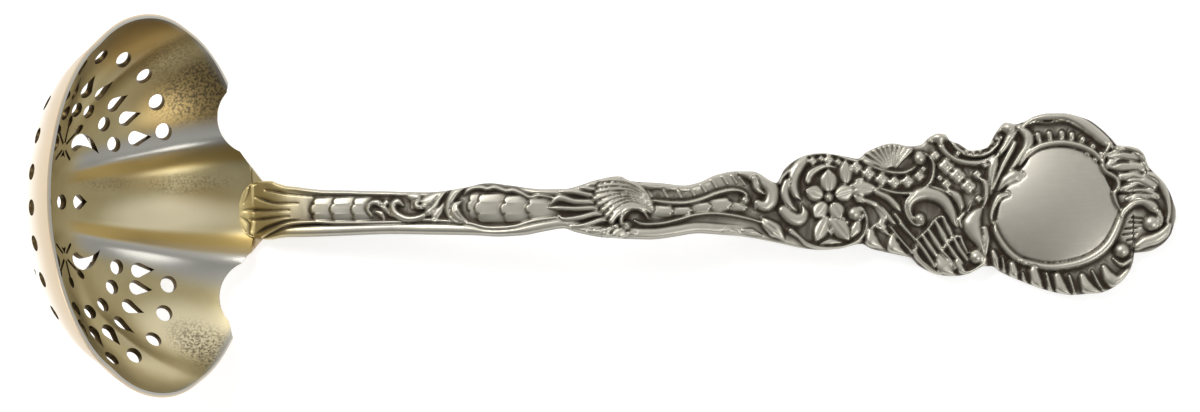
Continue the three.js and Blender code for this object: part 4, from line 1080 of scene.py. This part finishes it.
def lay(spans, form, height, outside=None):
    """Raised forms cover what is lower, inside a narrow moat; grooves are cut into what is there."""
    spot = field[spans]
    if outside is not None:
        spot *= 1 - MOAT_DEPTH * (outside > 0) * np.clip(1 - outside / MOAT_WIDTH, 0, 1)
    if height > 0:
        spot[:] = np.where(form > 0, np.maximum(spot, height * form), spot)
    else:
        spot += height * form


def stroke(points, widths, height, kind="round"):
    places, sizes = smooth_line(points, widths)
    radii = np.maximum(sizes, THINNEST_STROKE) / 2
    reach = radii.max() + MOAT_WIDTH
    spans = patch(places.min(axis=0) - reach, places.max(axis=0) + reach)
    gap_x = field_x[spans[0]][:, None, None] - places[:, 0]
    gap_y = field_y[spans[1]][None, :, None] - places[:, 1]
    away = np.hypot(gap_x, gap_y)
    part = away / radii
    nearest = part.argmin(axis=2)
    part = np.take_along_axis(part, nearest[..., None], 2)[..., 0]
    away = np.take_along_axis(away, nearest[..., None], 2)[..., 0]
    size = radii[nearest] / radii.max()
    form = np.sqrt(np.clip(1 - part**FLAT_TOP, 0, None)) * np.clip(size, 0, 1) ** TAPER_CURVE
    if kind == "creased":
        form = form * (1 - CREASE_DEPTH * np.exp(-(away / CREASE_WIDTH) ** 2))
    lay(spans, form, height, away - radii[nearest] if height > 0 else None)


# A husk is a scale that rises to its free end, where a middle lobe stands past two side lobes

HUSK_LOBE = 0.38
HUSK_LOBE_FALL = 0.08
HUSK_SETBACK = 0.13
HUSK_SIDE_LOBE = 0.62
HUSK_SIDE_FALL = 0.14
HUSK_ARCH = 0.92
HUSK_BASE = 0.3
HUSK_EDGE = 0.25
HUSK_TAIL = 0.3


def husk(base, free, width, height):
    spans, length, along, aside = along_axis(base, free, width)
    aside = aside / (width / 2)
    middle_end = 1 - HUSK_LOBE_FALL * (aside / HUSK_LOBE) ** 2
    side_end = 1 - HUSK_SETBACK - HUSK_SIDE_FALL * ((aside - HUSK_SIDE_LOBE) / HUSK_LOBE) ** 2
    end = np.where(aside < HUSK_LOBE, middle_end, side_end)
    slope = HUSK_BASE + (1 - HUSK_BASE) * np.clip(along / end, -HUSK_TAIL, 1)
    edge = np.sqrt(np.clip((end - along) * length / HUSK_EDGE, 0, 1))
    form = slope * edge * np.sqrt(np.clip(1 - HUSK_ARCH * aside**2, 0, 1))
    lay(spans, form * (along > -HUSK_TAIL) * (aside < 1), height)


# A petal or leaf is broad near its middle and pointed at its tip, with a crease along it

PETAL_BROADEST = 0.56
PETAL_POINT = 1.7
PETAL_ARCH = 0.8
PETAL_BASE = 0.8
PETAL_RISE = 0.2
PETAL_LEAST_HALF = 0.001


def petal(base, tip, width, height):
    spans, length, along, aside = along_axis(base, tip, width)
    round_half = np.sqrt(np.clip(1 - (along / PETAL_BROADEST - 1) ** 2, 0, 1))
    tip_part = np.clip((along - PETAL_BROADEST) / (1 - PETAL_BROADEST), 0, 1)
    half = width / 2 * np.where(along < PETAL_BROADEST, round_half, 1 - tip_part**PETAL_POINT)
    part = aside / np.maximum(half, PETAL_LEAST_HALF)
    crease = 1 - CREASE_DEPTH * np.exp(-(aside / CREASE_WIDTH) ** 2)
    arch = np.sqrt(np.clip(1 - part**2, 0, 1)) ** PETAL_ARCH
    form = arch * crease * (PETAL_BASE + PETAL_RISE * along)
    ends = np.maximum(-along, along - 1) * length
    lay(spans, form * (along > 0) * (along < 1), height, np.maximum(aside - half, ends))


# A blossom has four round lobes and a dimple

BLOSSOM_HEIGHT = 0.7
BLOSSOM_WAIST = 0.74
DIMPLE_REACH = 0.25
DIMPLE_DEPTH = 0.4


def blossom(x, y, size, height=BLOSSOM_HEIGHT):
    spans, gap_x, gap_y = gaps(x, y, size + MOAT_WIDTH)
    away = np.hypot(gap_x, gap_y)
    turn = np.arctan2(gap_y, gap_x)
    lobes = size * (BLOSSOM_WAIST + (1 - BLOSSOM_WAIST) * np.abs(np.cos(2 * turn)))
    form = np.sqrt(np.clip(1 - (away / lobes) ** 2, 0, 1))
    dimple = np.exp(-(away / (DIMPLE_REACH * size)) ** 2)
    lay(spans, form * (1 - DIMPLE_DEPTH * dimple), height, away - lobes)


def bead(x, y, radius, height):
    spans, gap_x, gap_y = gaps(x, y, radius + MOAT_WIDTH)
    away = np.hypot(gap_x, gap_y)
    lay(spans, np.sqrt(np.clip(1 - (away / radius) ** 2, 0, None)), height, away - radius)


SHAPES = {"husk": husk, "petal": petal}


def draw_row(section, points, widths, height, kind="round"):
    pitch = SECTIONS[section][2]
    placed = [drawn(section, x, y) for x, y in points]
    if kind in SHAPES:
        SHAPES[kind](placed[0], placed[-1], widths[0] * pitch, height)
    else:
        stroke(placed, [width * pitch for width in widths], height, kind)


def draw_dots(table, form):
    for section, dots in table.items():
        for x, y, size, *height in dots:
            form(*drawn(section, x, y), size * SECTIONS[section][2], *height)


# Ribs of the right-hand shell, between three guide lines from its edge to its eye

SHELL_GUIDES = [
    [(438, 495), (380, 380), (264, 281), (148, 235), (41, 227)],
    [(429, 512), (338, 421), (223, 384), (91, 388), (-37, 413)],
    [(413, 528), (338, 483), (248, 470), (165, 512), (91, 594)],
]
SHELL_RIBS = 9
SHELL_RIB_WIDTHS = [24, 44, 58, 66, 64]
SHELL_HEIGHT = 1.1


def draw_shell():
    guides = np.array(SHELL_GUIDES, float)
    for rib in range(SHELL_RIBS):
        part = 2 * rib / (SHELL_RIBS - 1)
        at = min(int(part), 1)
        line = guides[at] + (guides[at + 1] - guides[at]) * (part - at)
        draw_row("knot", line, SHELL_RIB_WIDTHS, SHELL_HEIGHT)


# The flower's petals: base, tip and width, and the small fan-shaped leaf beside it

PETALS = [
    ((637, 632), (635, 425), 165), ((592, 668), (428, 610), 150), ((610, 715), (505, 858), 150),
    ((664, 718), (745, 862), 150), ((690, 662), (862, 610), 160),
]
PETAL_HEIGHT = 0.95
FAN_LEAF_APEX = (1200, 445)
FAN_LEAF_ENDS = [
    (952, 330), (982, 282), (1025, 248), (1075, 224), (1125, 208), (1175, 202), (1228, 205), (1278, 216),
    (1322, 234), (1358, 260),
]
FAN_LEAF_WIDTHS = [16, 52]
FAN_LEAF_HEIGHT = 0.75
FAN_LEAF_EYE = 0.18


def draw_bloom():
    for base, tip, width in PETALS:
        draw_row("bloom", [base, tip], [width], PETAL_HEIGHT, "petal")
    for end in FAN_LEAF_ENDS:
        start = tuple(a + FAN_LEAF_EYE * (e - a) for a, e in zip(FAN_LEAF_APEX, end))
        draw_row("bloom", [start, end], FAN_LEAF_WIDTHS, FAN_LEAF_HEIGHT, "creased")


# The plain panel near the tip: an uneven oval, slightly domed, with a raised lip over it

PANEL_CORNERS = [
    (-38, 425), (20, 345), (120, 300), (250, 285), (380, 305), (490, 360), (560, 440), (600, 530), (640, 620),
    (668, 700), (695, 780), (690, 880), (640, 990), (580, 1075), (500, 1140), (400, 1185), (300, 1210),
    (180, 1225), (60, 1213), (-60, 1180), (-160, 1110), (-230, 1010), (-265, 900), (-250, 780), (-215, 660),
    (-130, 540),
]
PANEL_STEP = 0.3
PANEL_LIFT = 0.22
PANEL_DOME = 1.15
PANEL_LIP = [(-75, 430), (0, 335), (100, 275), (250, 252), (390, 275), (500, 325), (575, 400)]
PANEL_LIP_WIDTHS = [20, 48, 54, 56, 56, 54, 40]
PANEL_LIP_HEIGHT = 0.9


def inside_outline(corners):
    """Which places of the field lie inside a closed outline."""
    inside = np.zeros((FIELD_COLUMNS, FIELD_ROWS), bool)
    y = field_y[None, :]
    for (ax, ay), (bx, by) in zip(corners, corners[1:] + corners[:1]):
        if ay != by:
            crossing = ax + (y - ay) / (by - ay) * (bx - ax)
            inside ^= ((ay > y) != (by > y)) & (field_x[:, None] < crossing)
    return inside


def panel_outline():
    corners = [drawn("panel", *corner) for corner in PANEL_CORNERS]
    closed = corners[-1:] + corners + corners[:2]
    places = smooth_line(closed, [1] * len(closed), PANEL_STEP)[0]
    away = np.linalg.norm(places - np.array(corners[0]), axis=1)
    start, end = away.argmin(), len(places) - away[::-1].argmin() - 1
    return [tuple(place) for place in places[start:end]]


def draw_panel():
    outline = panel_outline()
    inside = inside_outline(outline)
    middle = np.mean(outline, axis=0)
    radius = np.linalg.norm(np.array(outline) - middle, axis=1).max()
    away = np.hypot(field_x[:, None] - middle[0], field_y[None, :] - middle[1])
    flat = PANEL_LIFT + PANEL_DOME * (1 - (away / radius) ** 2)
    field[inside] = flat[inside]
    return inside


# Smooth rounded bands along both edges of the stem: edge, start, end, width and height

BANDS = [
    ("low", 0.0, 0.55, 1.4, 0.5), ("high", 0.02, 0.2, 0.6, 0.4), ("high", 0.28, 0.5, 0.85, 0.5),
]
BAND_RISE = 0.03
BAND_FADE = 0.06


def draw_bands():
    share = share_at(field_x)[:, None]
    low = smooth_edge(share, LOWER_EDGE) + SHIFT.y
    high = smooth_edge(share, UPPER_EDGE) + SHIFT.y
    for edge, start, end, width, height in BANDS:
        inward = field_y[None, :] - low if edge == "low" else high - field_y[None, :]
        risen = smoothstep(share, start, start + BAND_RISE) * (1 - smoothstep(share, end - BAND_FADE, end))
        form = np.sqrt(np.clip(1 - (2 * inward / width - 1) ** 2, 0, 1)) * risen
        lay((slice(None), slice(None)), form, height)


def blurred(values, sigma):
    reach = int(3 * sigma / FIELD_PITCH)
    weights = np.exp(-0.5 * (np.arange(-reach, reach + 1) * FIELD_PITCH / sigma) ** 2)
    weights /= weights.sum()
    for axis in (0, 1):
        total = np.zeros_like(values)
        for offset, weight in zip(range(-reach, reach + 1), weights):
            total += weight * np.roll(values, offset, axis=axis)
        values = total
    return values


def sampled(values, x, y):
    along = np.clip((x - FIELD_START.x) / FIELD_PITCH, 0, FIELD_COLUMNS - 2)
    across = np.clip((y - FIELD_START.y) / FIELD_PITCH, 0, FIELD_ROWS - 2)
    i, j = along.astype(int), across.astype(int)
    u, v = along - i, across - j
    return (
        values[i, j] * (1 - u) * (1 - v) + values[i + 1, j] * u * (1 - v)
        + values[i, j + 1] * (1 - u) * v + values[i + 1, j + 1] * u * v
    )


# Handle: the field is laid over the blank, and the sheet is given its thickness downwards

HANDLE_COLUMNS = 1190
HANDLE_ROWS = 190
HANDLE_TRIANGLES = 190000
STRUCK_SOFTNESS = 0.07
GROUND_SINK = 0.3
LEAST_THICKNESS = 0.25
BED_CLEARANCE = 0.02
BED_MARGIN = 1
NO_BED = -99.0
ABOVE_ALL = 60


def draw_relief():
    draw_bands()
    inside = draw_panel()
    for section, rows in RELIEF:
        for row in rows:
            draw_row(section, *row)
    draw_shell()
    draw_bloom()
    draw_row("panel", PANEL_LIP, PANEL_LIP_WIDTHS, PANEL_LIP_HEIGHT)
    draw_dots(BEADS, bead)
    draw_dots(BLOSSOMS, blossom)
    field[:] = blurred(field, STRUCK_SOFTNESS)
    return inside


def bed_heights(x, y, bowl):
    """Height of the bowl under each place, or far below where the bowl isn't."""
    tree = BVHTree.FromObject(bowl, bpy.context.evaluated_depsgraph_get())
    down = Vector((0, 0, -1))
    heights = np.full(len(x), NO_BED)
    for at in np.nonzero(x < LAP_BASE_X + LAP_LENGTH + BED_MARGIN)[0]:
        hit = tree.ray_cast(Vector((x[at], y[at], ABOVE_ALL)) * MM, down)[0]
        if hit is not None:
            heights[at] = hit.z / MM
    return heights


def base_heights(x, bed):
    return np.maximum(underside_at(x), bed + BED_CLEARANCE)


def handle_mesh(bowl):
    mesh = grid_mesh("handle_sheet", HANDLE_COLUMNS, HANDLE_ROWS)
    points = read_points(mesh)
    share = TONGUE_START + (1 - TONGUE_START) * (points[:, 0] + 1) / 2
    x = x_at(share)
    high = smooth_edge(share, UPPER_EDGE) + SHIFT.y
    low = smooth_edge(share, LOWER_EDGE) + SHIFT.y
    y = low + (high - low) * (points[:, 1] + 1) / 2
    bed = bed_heights(x, y, bowl)
    plate = underside_at(x) + WALL / LAP_UP.z
    tip = np.where(bed > 0, bed, plate) + SEAT_GAP + TONGUE_TIP
    top = tip + (top_at(x) - tip) * smoothstep(share, TONGUE_START, TONGUE_BLEND)
    fall = np.clip(1 - np.minimum(y - low, high - y) / EDGE_ROUND, 0, 1)
    rounding = EDGE_ROUND * (1 - np.sqrt(1 - fall**2))
    top = top - GROUND_SINK + sampled(field, x, y) - rounding
    top = np.maximum(top, base_heights(x, bed) + LEAST_THICKNESS)
    write_points(mesh, np.stack([x, y, top], axis=-1))
    with edited(mesh) as bm:
        bmesh.ops.extrude_face_region(bm, geom=list(bm.faces))
    both = read_points(mesh)
    under = both[len(points):]
    under[:, 2] = base_heights(under[:, 0], bed_heights(under[:, 0], under[:, 1], bowl))
    write_points(mesh, both * MM)
    with edited(mesh) as bm:
        bmesh.ops.recalc_face_normals(bm, faces=bm.faces)
    return mesh


def thin_out(piece, triangles):
    modifier = piece.modifiers.new("thin", "DECIMATE")
    modifier.ratio = triangles / (2 * len(piece.data.polygons))
    keep_modified(piece)


# Materials


def srgb(text):
    values = [int(text[at:at + 2], 16) / 255 for at in (1, 3, 5)]
    return tuple(v / 12.92 if v < 0.04045 else ((v + 0.055) / 1.055) ** 2.4 for v in values) + (1,)


def new_tree(name):
    material = bpy.data.materials.new(name)
    material.use_nodes = True
    material.node_tree.nodes.clear()
    return material, material.node_tree


def add_node(tree, kind, inputs=None, output=0, **settings):
    """Adds a node with its settings. Each input is a value to set or a socket to link."""
    node = tree.nodes.new(kind)
    for key, value in settings.items():
        setattr(node, key, value)
    for key, value in (inputs or {}).items():
        if isinstance(value, bpy.types.NodeSocket):
            tree.links.new(value, node.inputs[key])
        else:
            node.inputs[key].default_value = value
    return node.outputs[output] if len(node.outputs) else node


def layered(tree, colour, layers):
    """Colours laid one over the other, each as far as its mask reaches."""
    for mask, over in layers:
        if isinstance(mask, str):
            mask = add_node(tree, "ShaderNodeAttribute", None, "Fac", attribute_name=mask)
        colour = add_node(tree, "ShaderNodeMix", {0: mask, 6: colour, 7: over}, 2, data_type="RGBA")
    return colour


def within(tree, mask, pattern):
    """A pattern kept to where an attribute of the mesh allows it."""
    allowed = add_node(tree, "ShaderNodeAttribute", None, "Fac", attribute_name=mask)
    return add_node(tree, "ShaderNodeMath", {0: pattern, 1: allowed}, operation="MULTIPLY")


def object_noise(tree, size, detail, stretch=(1, 1, 1)):
    """Noise in the piece's own place, with its size in mm."""
    place = add_node(tree, "ShaderNodeTexCoord", None, "Object")
    place = add_node(tree, "ShaderNodeMapping", {"Vector": place, "Scale": stretch})
    noise = {"Vector": place, "Scale": 1 / (size * MM), "Detail": detail}
    return add_node(tree, "ShaderNodeTexNoise", noise, "Fac")


def finish_metal(tree, colour, roughness):
    shader = add_node(
        tree, "ShaderNodeBsdfPrincipled", {"Metallic": 1, "Base Color": colour, "Roughness": roughness}
    )
    add_node(tree, "ShaderNodeOutputMaterial", {"Surface": shader})


# Sterling silver, die-struck and hand polished: satin bright on the high forms, with brown-black
# tarnish left in the hollows, and traces of gilding near the bowl. Its cloudy tone changes over about
# 1 mm. The panel's brushed lines are 0.01 mm wide, and are drawn 0.2 mm wide so that they show.

SILVER_CLOUD = 1.11
BRUSH_LINE = 0.192
BRUSH_STRETCH = (0.04, 1, 1)
POLISHED_ROUGHNESS = 0.41
TARNISHED_ROUGHNESS = 0.62


def silver_material():
    material, tree = new_tree("sterling_silver_die_struck")
    colour = layered(tree, srgb("#AAA699"), [
        (object_noise(tree, SILVER_CLOUD, detail=4), srgb("#BBB7AB")),
        (within(tree, "plain", object_noise(tree, BRUSH_LINE, 2, BRUSH_STRETCH)), srgb("#A9A59B")),
        ("gilding", srgb("#CCBA86")), ("recess", srgb("#3A3027")),
    ])
    recess = add_node(tree, "ShaderNodeAttribute", None, "Fac", attribute_name="recess")
    roughness = add_node(tree, "ShaderNodeMapRange", {
        "Value": recess, "To Min": POLISHED_ROUGHNESS, "To Max": TARNISHED_ROUGHNESS})
    finish_metal(tree, colour, roughness)
    return material


# Silver gilt, pressed from sheet and gilt inside: soft satin gold on the flanks, worn back to grey
# silver along the crests, with a thin olive tarnish on the floor and a pale outer skin. The gilding's
# tone changes over about 4 mm. Its tarnish is grains of 0.05 mm, drawn 0.3 mm wide to show.

GILT_CLOUD = 3.85
TARNISH_GRAIN = 0.3125
TARNISH_SPREAD = (0.42, 0.6)
GILT_ROUGHNESS = 0.38
WORN_ROUGHNESS = 0.34


def gilt_material():
    material, tree = new_tree("silver_gilt_pressed")
    bare, tarnished = TARNISH_SPREAD
    grains = add_node(tree, "ShaderNodeMapRange", {
        "Value": object_noise(tree, TARNISH_GRAIN, detail=6), "From Min": bare, "From Max": tarnished})
    skin = layered(tree, srgb("#F8F2E8"), [("near_rim", srgb("#CDBBA0"))])
    colour = layered(tree, srgb("#978A62"), [
        (object_noise(tree, GILT_CLOUD, detail=5), srgb("#B5A985")), ("rich", srgb("#99804E")),
        # thin is a painted highlight: pale cream patches on the lower lobes
        ("thin", srgb("#E2D7B6")), ("flank", srgb("#A38D58")),
        (within(tree, "tarnish", grains), srgb("#5D523D")), ("crest", srgb("#A3A19A")),
        # cut is painted shade: the hole walls are dark brown so the holes look shadowed inside
        ("outside", skin), ("cut", srgb("#54462F")),
    ])
    crest = add_node(tree, "ShaderNodeAttribute", None, "Fac", attribute_name="crest")
    roughness = add_node(tree, "ShaderNodeMapRange", {
        "Value": crest, "To Min": GILT_ROUGHNESS, "To Max": WORN_ROUGHNESS})
    finish_metal(tree, colour, roughness)
    return material


# Silver solder, left as it ran: grey and dull

SOLDER_ROUGHNESS = 0.5


def solder_material():
    material, tree = new_tree("silver_solder_dulled")
    finish_metal(tree, srgb("#8F8B82"), SOLDER_ROUGHNESS)
    return material


# Uncoated white paper: matt, and lifted to white for the camera and in reflections, shadow and all

PAPER_LIFT = 0.45


def paper_material():
    material, tree = new_tree("white_paper")
    seen = 0.0
    for ray in ("Is Camera Ray", "Is Glossy Ray", "Is Transmission Ray"):
        ray = add_node(tree, "ShaderNodeLightPath", None, ray)
        seen = add_node(tree, "ShaderNodeMath", {0: seen, 1: ray}, operation="MAXIMUM")
    lift = add_node(tree, "ShaderNodeMapRange", {"Value": seen, "To Max": PAPER_LIFT})
    glow = add_node(tree, "ShaderNodeEmission", {"Strength": lift})
    paper = add_node(tree, "ShaderNodeBsdfDiffuse", {"Color": srgb("#E6E6E6")})
    both = add_node(tree, "ShaderNodeAddShader", {0: paper, 1: glow})
    add_node(tree, "ShaderNodeOutputMaterial", {"Surface": both})
    return material


# The finished pieces. Each tone of the bowl grows between two values: shares of the trough's half
# width, of the flutes' height, of the reach to the rim or of the wall, and millimetres along it.

TROUGH_WEAR_GROWS = (0.85, 0.97)
TROUGH_WEAR_ENDS = (1.2, 1.55)
TROUGH_WEAR_ALONG = (0.5, 4.5)
CREST_WEAR = (0.35, 0.7)
SIDE_WEAR = 0.3
FLANK_GROWS = (TROUGH_FLOOR - 0.05, TROUGH_FLOOR + 0.08)
FLANK_ENDS = (0.86, 0.97)
FLANK_ALONG = (0, 4)
BARE_RIM_GROWS = (0.965, 0.98)
BARE_RIM_ENDS = (0.93, 0.96)
NEAR_RIM = (0.82, 1)
OUTER_SKIN = (0.5, 0.8)
SQUARE_TO_WALL = 0.45
HOLES_END = 0.93

# Uneven gilding and tarnish on the inner face, and pale patches of painted highlight: place, reach along
# and across, and strength. Each spot fades out between two shares of its reach.

SPOT_FADES = (0.3, 1)
UNEVEN = {
    "tarnish": [
        (13, 14.8, 6.5, 6.2, 1), (11, -18.5, 4.5, 5.5, 0.8), (10, 8.8, 1.3, 1.1, 0.9), (14, 3, 6, 1.8, 0.5),
        (4, 3.2, 6, 1.2, 0.35), (7, 18.5, 5, 4, 0.5),
    ],
    "rich": [(1, 21.5, 9, 7, 1), (12, 13, 9, 8, 0.75), (16, 0.8, 4, 3, 0.5), (8, 3.5, 6, 2, 0.4)],
    # The thin spots are a painted highlight, pale cream on the lower lobes
    "thin": [
        (11.5, -1, 11, 3.4, 0.8), (9.9, -15.5, 8, 5, 0.75), (1.7, -20.6, 7, 3, 0.4), (16, -6.8, 6, 1.5, 0.6),
    ],
}


def hole_walls(mesh):
    """Faces that stand square to the wall, apart from the rim and the tab."""
    normals = np.empty(3 * len(mesh.polygons))
    middles = np.empty(3 * len(mesh.polygons))
    mesh.polygons.foreach_get("normal", normals)
    mesh.polygons.foreach_get("center", middles)
    local = place_points(middles.reshape(-1, 3), BOWL_MATRIX.inverted())
    turned = normals.reshape(-1, 3) @ np.array(BOWL_MATRIX.to_3x3())
    square = np.abs(np.einsum("ij,ij->i", turned, dome_normal(local[:, 0], local[:, 1]))) < SQUARE_TO_WALL
    return square & (rim_share(local[:, 0], local[:, 1]) < HOLES_END)


def dress(piece, material, crease):
    piece.data.shade_smooth()
    piece.data.set_sharp_from_angle(angle=math.radians(crease))
    coat(piece, material)


def pierced_bowl():
    piece = add_object("gilt_bowl", bowl_mesh())
    combine(piece, round_punches(), "DIFFERENCE")
    combine(piece, sunburst_punches(), "DIFFERENCE")
    tab_low = (-2 * WALL, -LAP_HALF_WIDTH, -WALL)
    tab_high = (LAP_LENGTH, LAP_HALF_WIDTH, 0)
    combine(piece, block(tab_low, tab_high, LAP), "UNION")
    for side in (1, -1):
        combine(piece, root_trim(side), "DIFFERENCE")
    return piece


def tone_bowl(mesh):
    """Marks where the gilding is worn, rich or tarnished, a painted highlight, the outside, and the cut edges
    painted as shade.
    """
    local = place_points(read_points(mesh), BOWL_MATRIX.inverted())
    x, y = local[:, 0], local[:, 1]
    lift = flute_lift(x, y) / FLUTE_HEIGHT
    depth = np.einsum("ij,ij->i", local - pressed_points(x, y, 0 * x), dome_normal(x, y))
    share = rim_share(x, y)
    ahead = (x + POLE_SETBACK * (1 - share)) / np.maximum(share * RIM_BACK, TINY)
    along, across = x + FLUTE_CENTRE, np.abs(y - aside_at(y))
    part = across / trough_crest(along)
    at_trough = smoothstep(part, *TROUGH_WEAR_GROWS) * (1 - smoothstep(part, *TROUGH_WEAR_ENDS))
    worn = smoothstep(lift, *CREST_WEAR) * (SIDE_WEAR + (1 - SIDE_WEAR) * at_trough)
    flank = smoothstep(part, *FLANK_GROWS) * (1 - smoothstep(part, *FLANK_ENDS))
    bare_rim = smoothstep(share, *BARE_RIM_GROWS) * (1 - smoothstep(ahead, *BARE_RIM_ENDS))
    bands = at_trough * smoothstep(along, *TROUGH_WEAR_ALONG)
    set_attribute(mesh, "crest", np.maximum(np.maximum(worn, bands), bare_rim))
    set_attribute(mesh, "flank", flank * smoothstep(along, *FLANK_ALONG))
    set_attribute(mesh, "near_rim", smoothstep(share, *NEAR_RIM))
    for name, spots in UNEVEN.items():
        tone = np.zeros(len(x))
        for spot_x, spot_y, reach_x, reach_y, strength in spots:
            away = np.hypot((x - spot_x) / reach_x, (y - spot_y) / reach_y)
            tone = np.maximum(tone, strength * (1 - smoothstep(away, *SPOT_FADES)))
        set_attribute(mesh, name, tone)
    set_attribute(mesh, "outside", smoothstep(-depth / wall_at(share, ahead), *OUTER_SKIN))
    # The hole walls are painted dark brown as shade inside the holes
    set_attribute(mesh, "cut", hole_walls(mesh), "FACE")


BOWL_CREASE = 40


def build_bowl():
    piece = pierced_bowl()
    tone_bowl(piece.data)
    write_points(piece.data, read_points(piece.data) * MM)
    dress(piece, gilt_material(), BOWL_CREASE)
    return piece


# Tarnish stays in hollows narrower than the reach, and thinly on ground between close forms

HOLLOW_REACH = 0.3
HOLLOW_DEPTH = 0.19
HOLLOW_CURVE = 1.3
FORM_HEIGHT = 0.3
GROUND_REACH = 0.8
GROUND_HEIGHT = (0.12, 0.35)
GROUND_CROWD = (0.08, 0.45)
GROUND_TONE = 0.28


def patina(panel):
    """How dark each place of the field is, with the plain panel kept clean."""
    hollow = np.clip((blurred(field, HOLLOW_REACH) - field) / HOLLOW_DEPTH, 0, 1)
    crowd = blurred((field > FORM_HEIGHT).astype(float), GROUND_REACH)
    ground = (1 - smoothstep(field, *GROUND_HEIGHT)) * smoothstep(crowd, *GROUND_CROWD) * ~panel
    return blurred(np.clip(hollow**HOLLOW_CURVE + GROUND_TONE * ground, 0, 1), STRUCK_SOFTNESS)


UNDERSIDE_RISE = 0.6
UNDERSIDE_TONE = 0.1
GILDING_FADE = (-46, -34)
HANDLE_CREASE = 60


def build_handle(bowl):
    panel = draw_relief()
    piece = add_object("silver_handle", handle_mesh(bowl))
    thin_out(piece, HANDLE_TRIANGLES)
    mesh = piece.data
    x, y, z = (read_points(mesh) / MM).T
    under = z < underside_at(x) + UNDERSIDE_RISE
    set_attribute(mesh, "recess", np.where(under, UNDERSIDE_TONE, sampled(patina(panel), x, y)))
    set_attribute(mesh, "plain", np.where(under, 0, sampled(panel.astype(float), x, y)))
    set_attribute(mesh, "gilding", 1 - smoothstep(x, *GILDING_FADE))
    dress(piece, silver_material(), HANDLE_CREASE)
    return piece


bowl = build_bowl()
handle = build_handle(bowl)
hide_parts("bowl")
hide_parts("handle")
for piece, slot in ((bowl, "gilt_silver"), (handle, "silver")):
    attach(piece, "root")
coat(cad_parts["solder_seam"], solder_material())


# Paper, lamps and camera

PAPER_HALF_WIDTH = 1.5

paper = add_object("paper", grid_mesh("paper", 1, 1, PAPER_HALF_WIDTH))
coat(paper, paper_material())


# Lamps: name, place and size in metres, and power in watts

LAMPS = [
    ("key_lamp", (-0.35, 0.45, 0.6), (0.5, 0.35), 4.0), ("fill_lamp", (0.5, -0.4, 0.5), (0.4, 0.4), 2.0),
]


def soft_lamp(name, place, size, power):
    lamp = bpy.data.lights.new(name, "AREA")
    lamp.shape = "RECTANGLE"
    lamp.size, lamp.size_y = size
    lamp.energy = power
    holder = add_object(name, lamp)
    holder.location = place
    holder.rotation_euler = (-Vector(place)).to_track_quat("-Z", "Y").to_euler()


for lamp in LAMPS:
    soft_lamp(*lamp)

# Metal sees a white tent, paler on the far side of the spoon than on the near side

TENT_FAR = 1.0
TENT_NEAR = 0.3
TENT_TURN = 0.8
TENT_LIGHT = 0.55


def white_tent():
    world = bpy.data.worlds.new("white_tent")
    world.use_nodes = True
    tree = world.node_tree
    tree.nodes.clear()
    towards = add_node(tree, "ShaderNodeTexCoord", None, "Generated")
    upwards = add_node(tree, "ShaderNodeSeparateXYZ", {"Vector": towards}, "Y")
    slope = add_node(tree, "ShaderNodeMapRange", {
        "Value": upwards, "From Min": -TENT_TURN, "From Max": TENT_TURN, "To Min": TENT_NEAR,
        "To Max": TENT_FAR}, interpolation_type="SMOOTHSTEP")
    glossy = add_node(tree, "ShaderNodeLightPath", None, "Is Glossy Ray")
    strength = add_node(
        tree, "ShaderNodeMix", {0: glossy, 2: TENT_LIGHT, 3: slope}, 0, data_type="FLOAT"
    )
    white = add_node(tree, "ShaderNodeBackground", {"Color": srgb("#FFFFFF"), "Strength": strength})
    add_node(tree, "ShaderNodeOutputWorld", {"Surface": white})
    bpy.context.scene.world = world


white_tent()

# A long lens, nearly straight above. The shift is in shares of the picture's width.

PICTURE_WIDTH = 1200
CAMERA_DISTANCE = 700
CAMERA_ELEVATION = math.radians(87.83)
CAMERA_ROLL = math.radians(-3.14)
CAMERA_TURN = math.radians(2.37)
CAMERA_TARGET = Vector((-0.875, 2.515, 0))
CAMERA_LENS = 164.96
CAMERA_SHIFT = (-2 / PICTURE_WIDTH, -20.83 / PICTURE_WIDTH)


def add_camera():
    elevation = CAMERA_ELEVATION
    back = Vector((0, -math.cos(elevation), math.sin(elevation)))
    right = Vector((1, 0, 0))
    up = back.cross(right)
    turned_right = math.cos(CAMERA_ROLL) * right + math.sin(CAMERA_ROLL) * up
    turned_up = -math.sin(CAMERA_ROLL) * right + math.cos(CAMERA_ROLL) * up
    axes = Matrix((turned_right, turned_up, back)).transposed()
    axes = Matrix.Rotation(CAMERA_TURN, 3, "Z") @ axes
    data = bpy.data.cameras.new("camera")
    data.lens = CAMERA_LENS
    data.shift_x, data.shift_y = CAMERA_SHIFT
    camera = add_object("camera", data)
    place = axes.to_4x4()
    place.translation = (CAMERA_TARGET + CAMERA_DISTANCE * axes.col[2]) * MM
    camera.matrix_world = place
    bpy.context.scene.camera = camera


add_camera()
bpy.context.scene.view_settings.view_transform = "Standard"
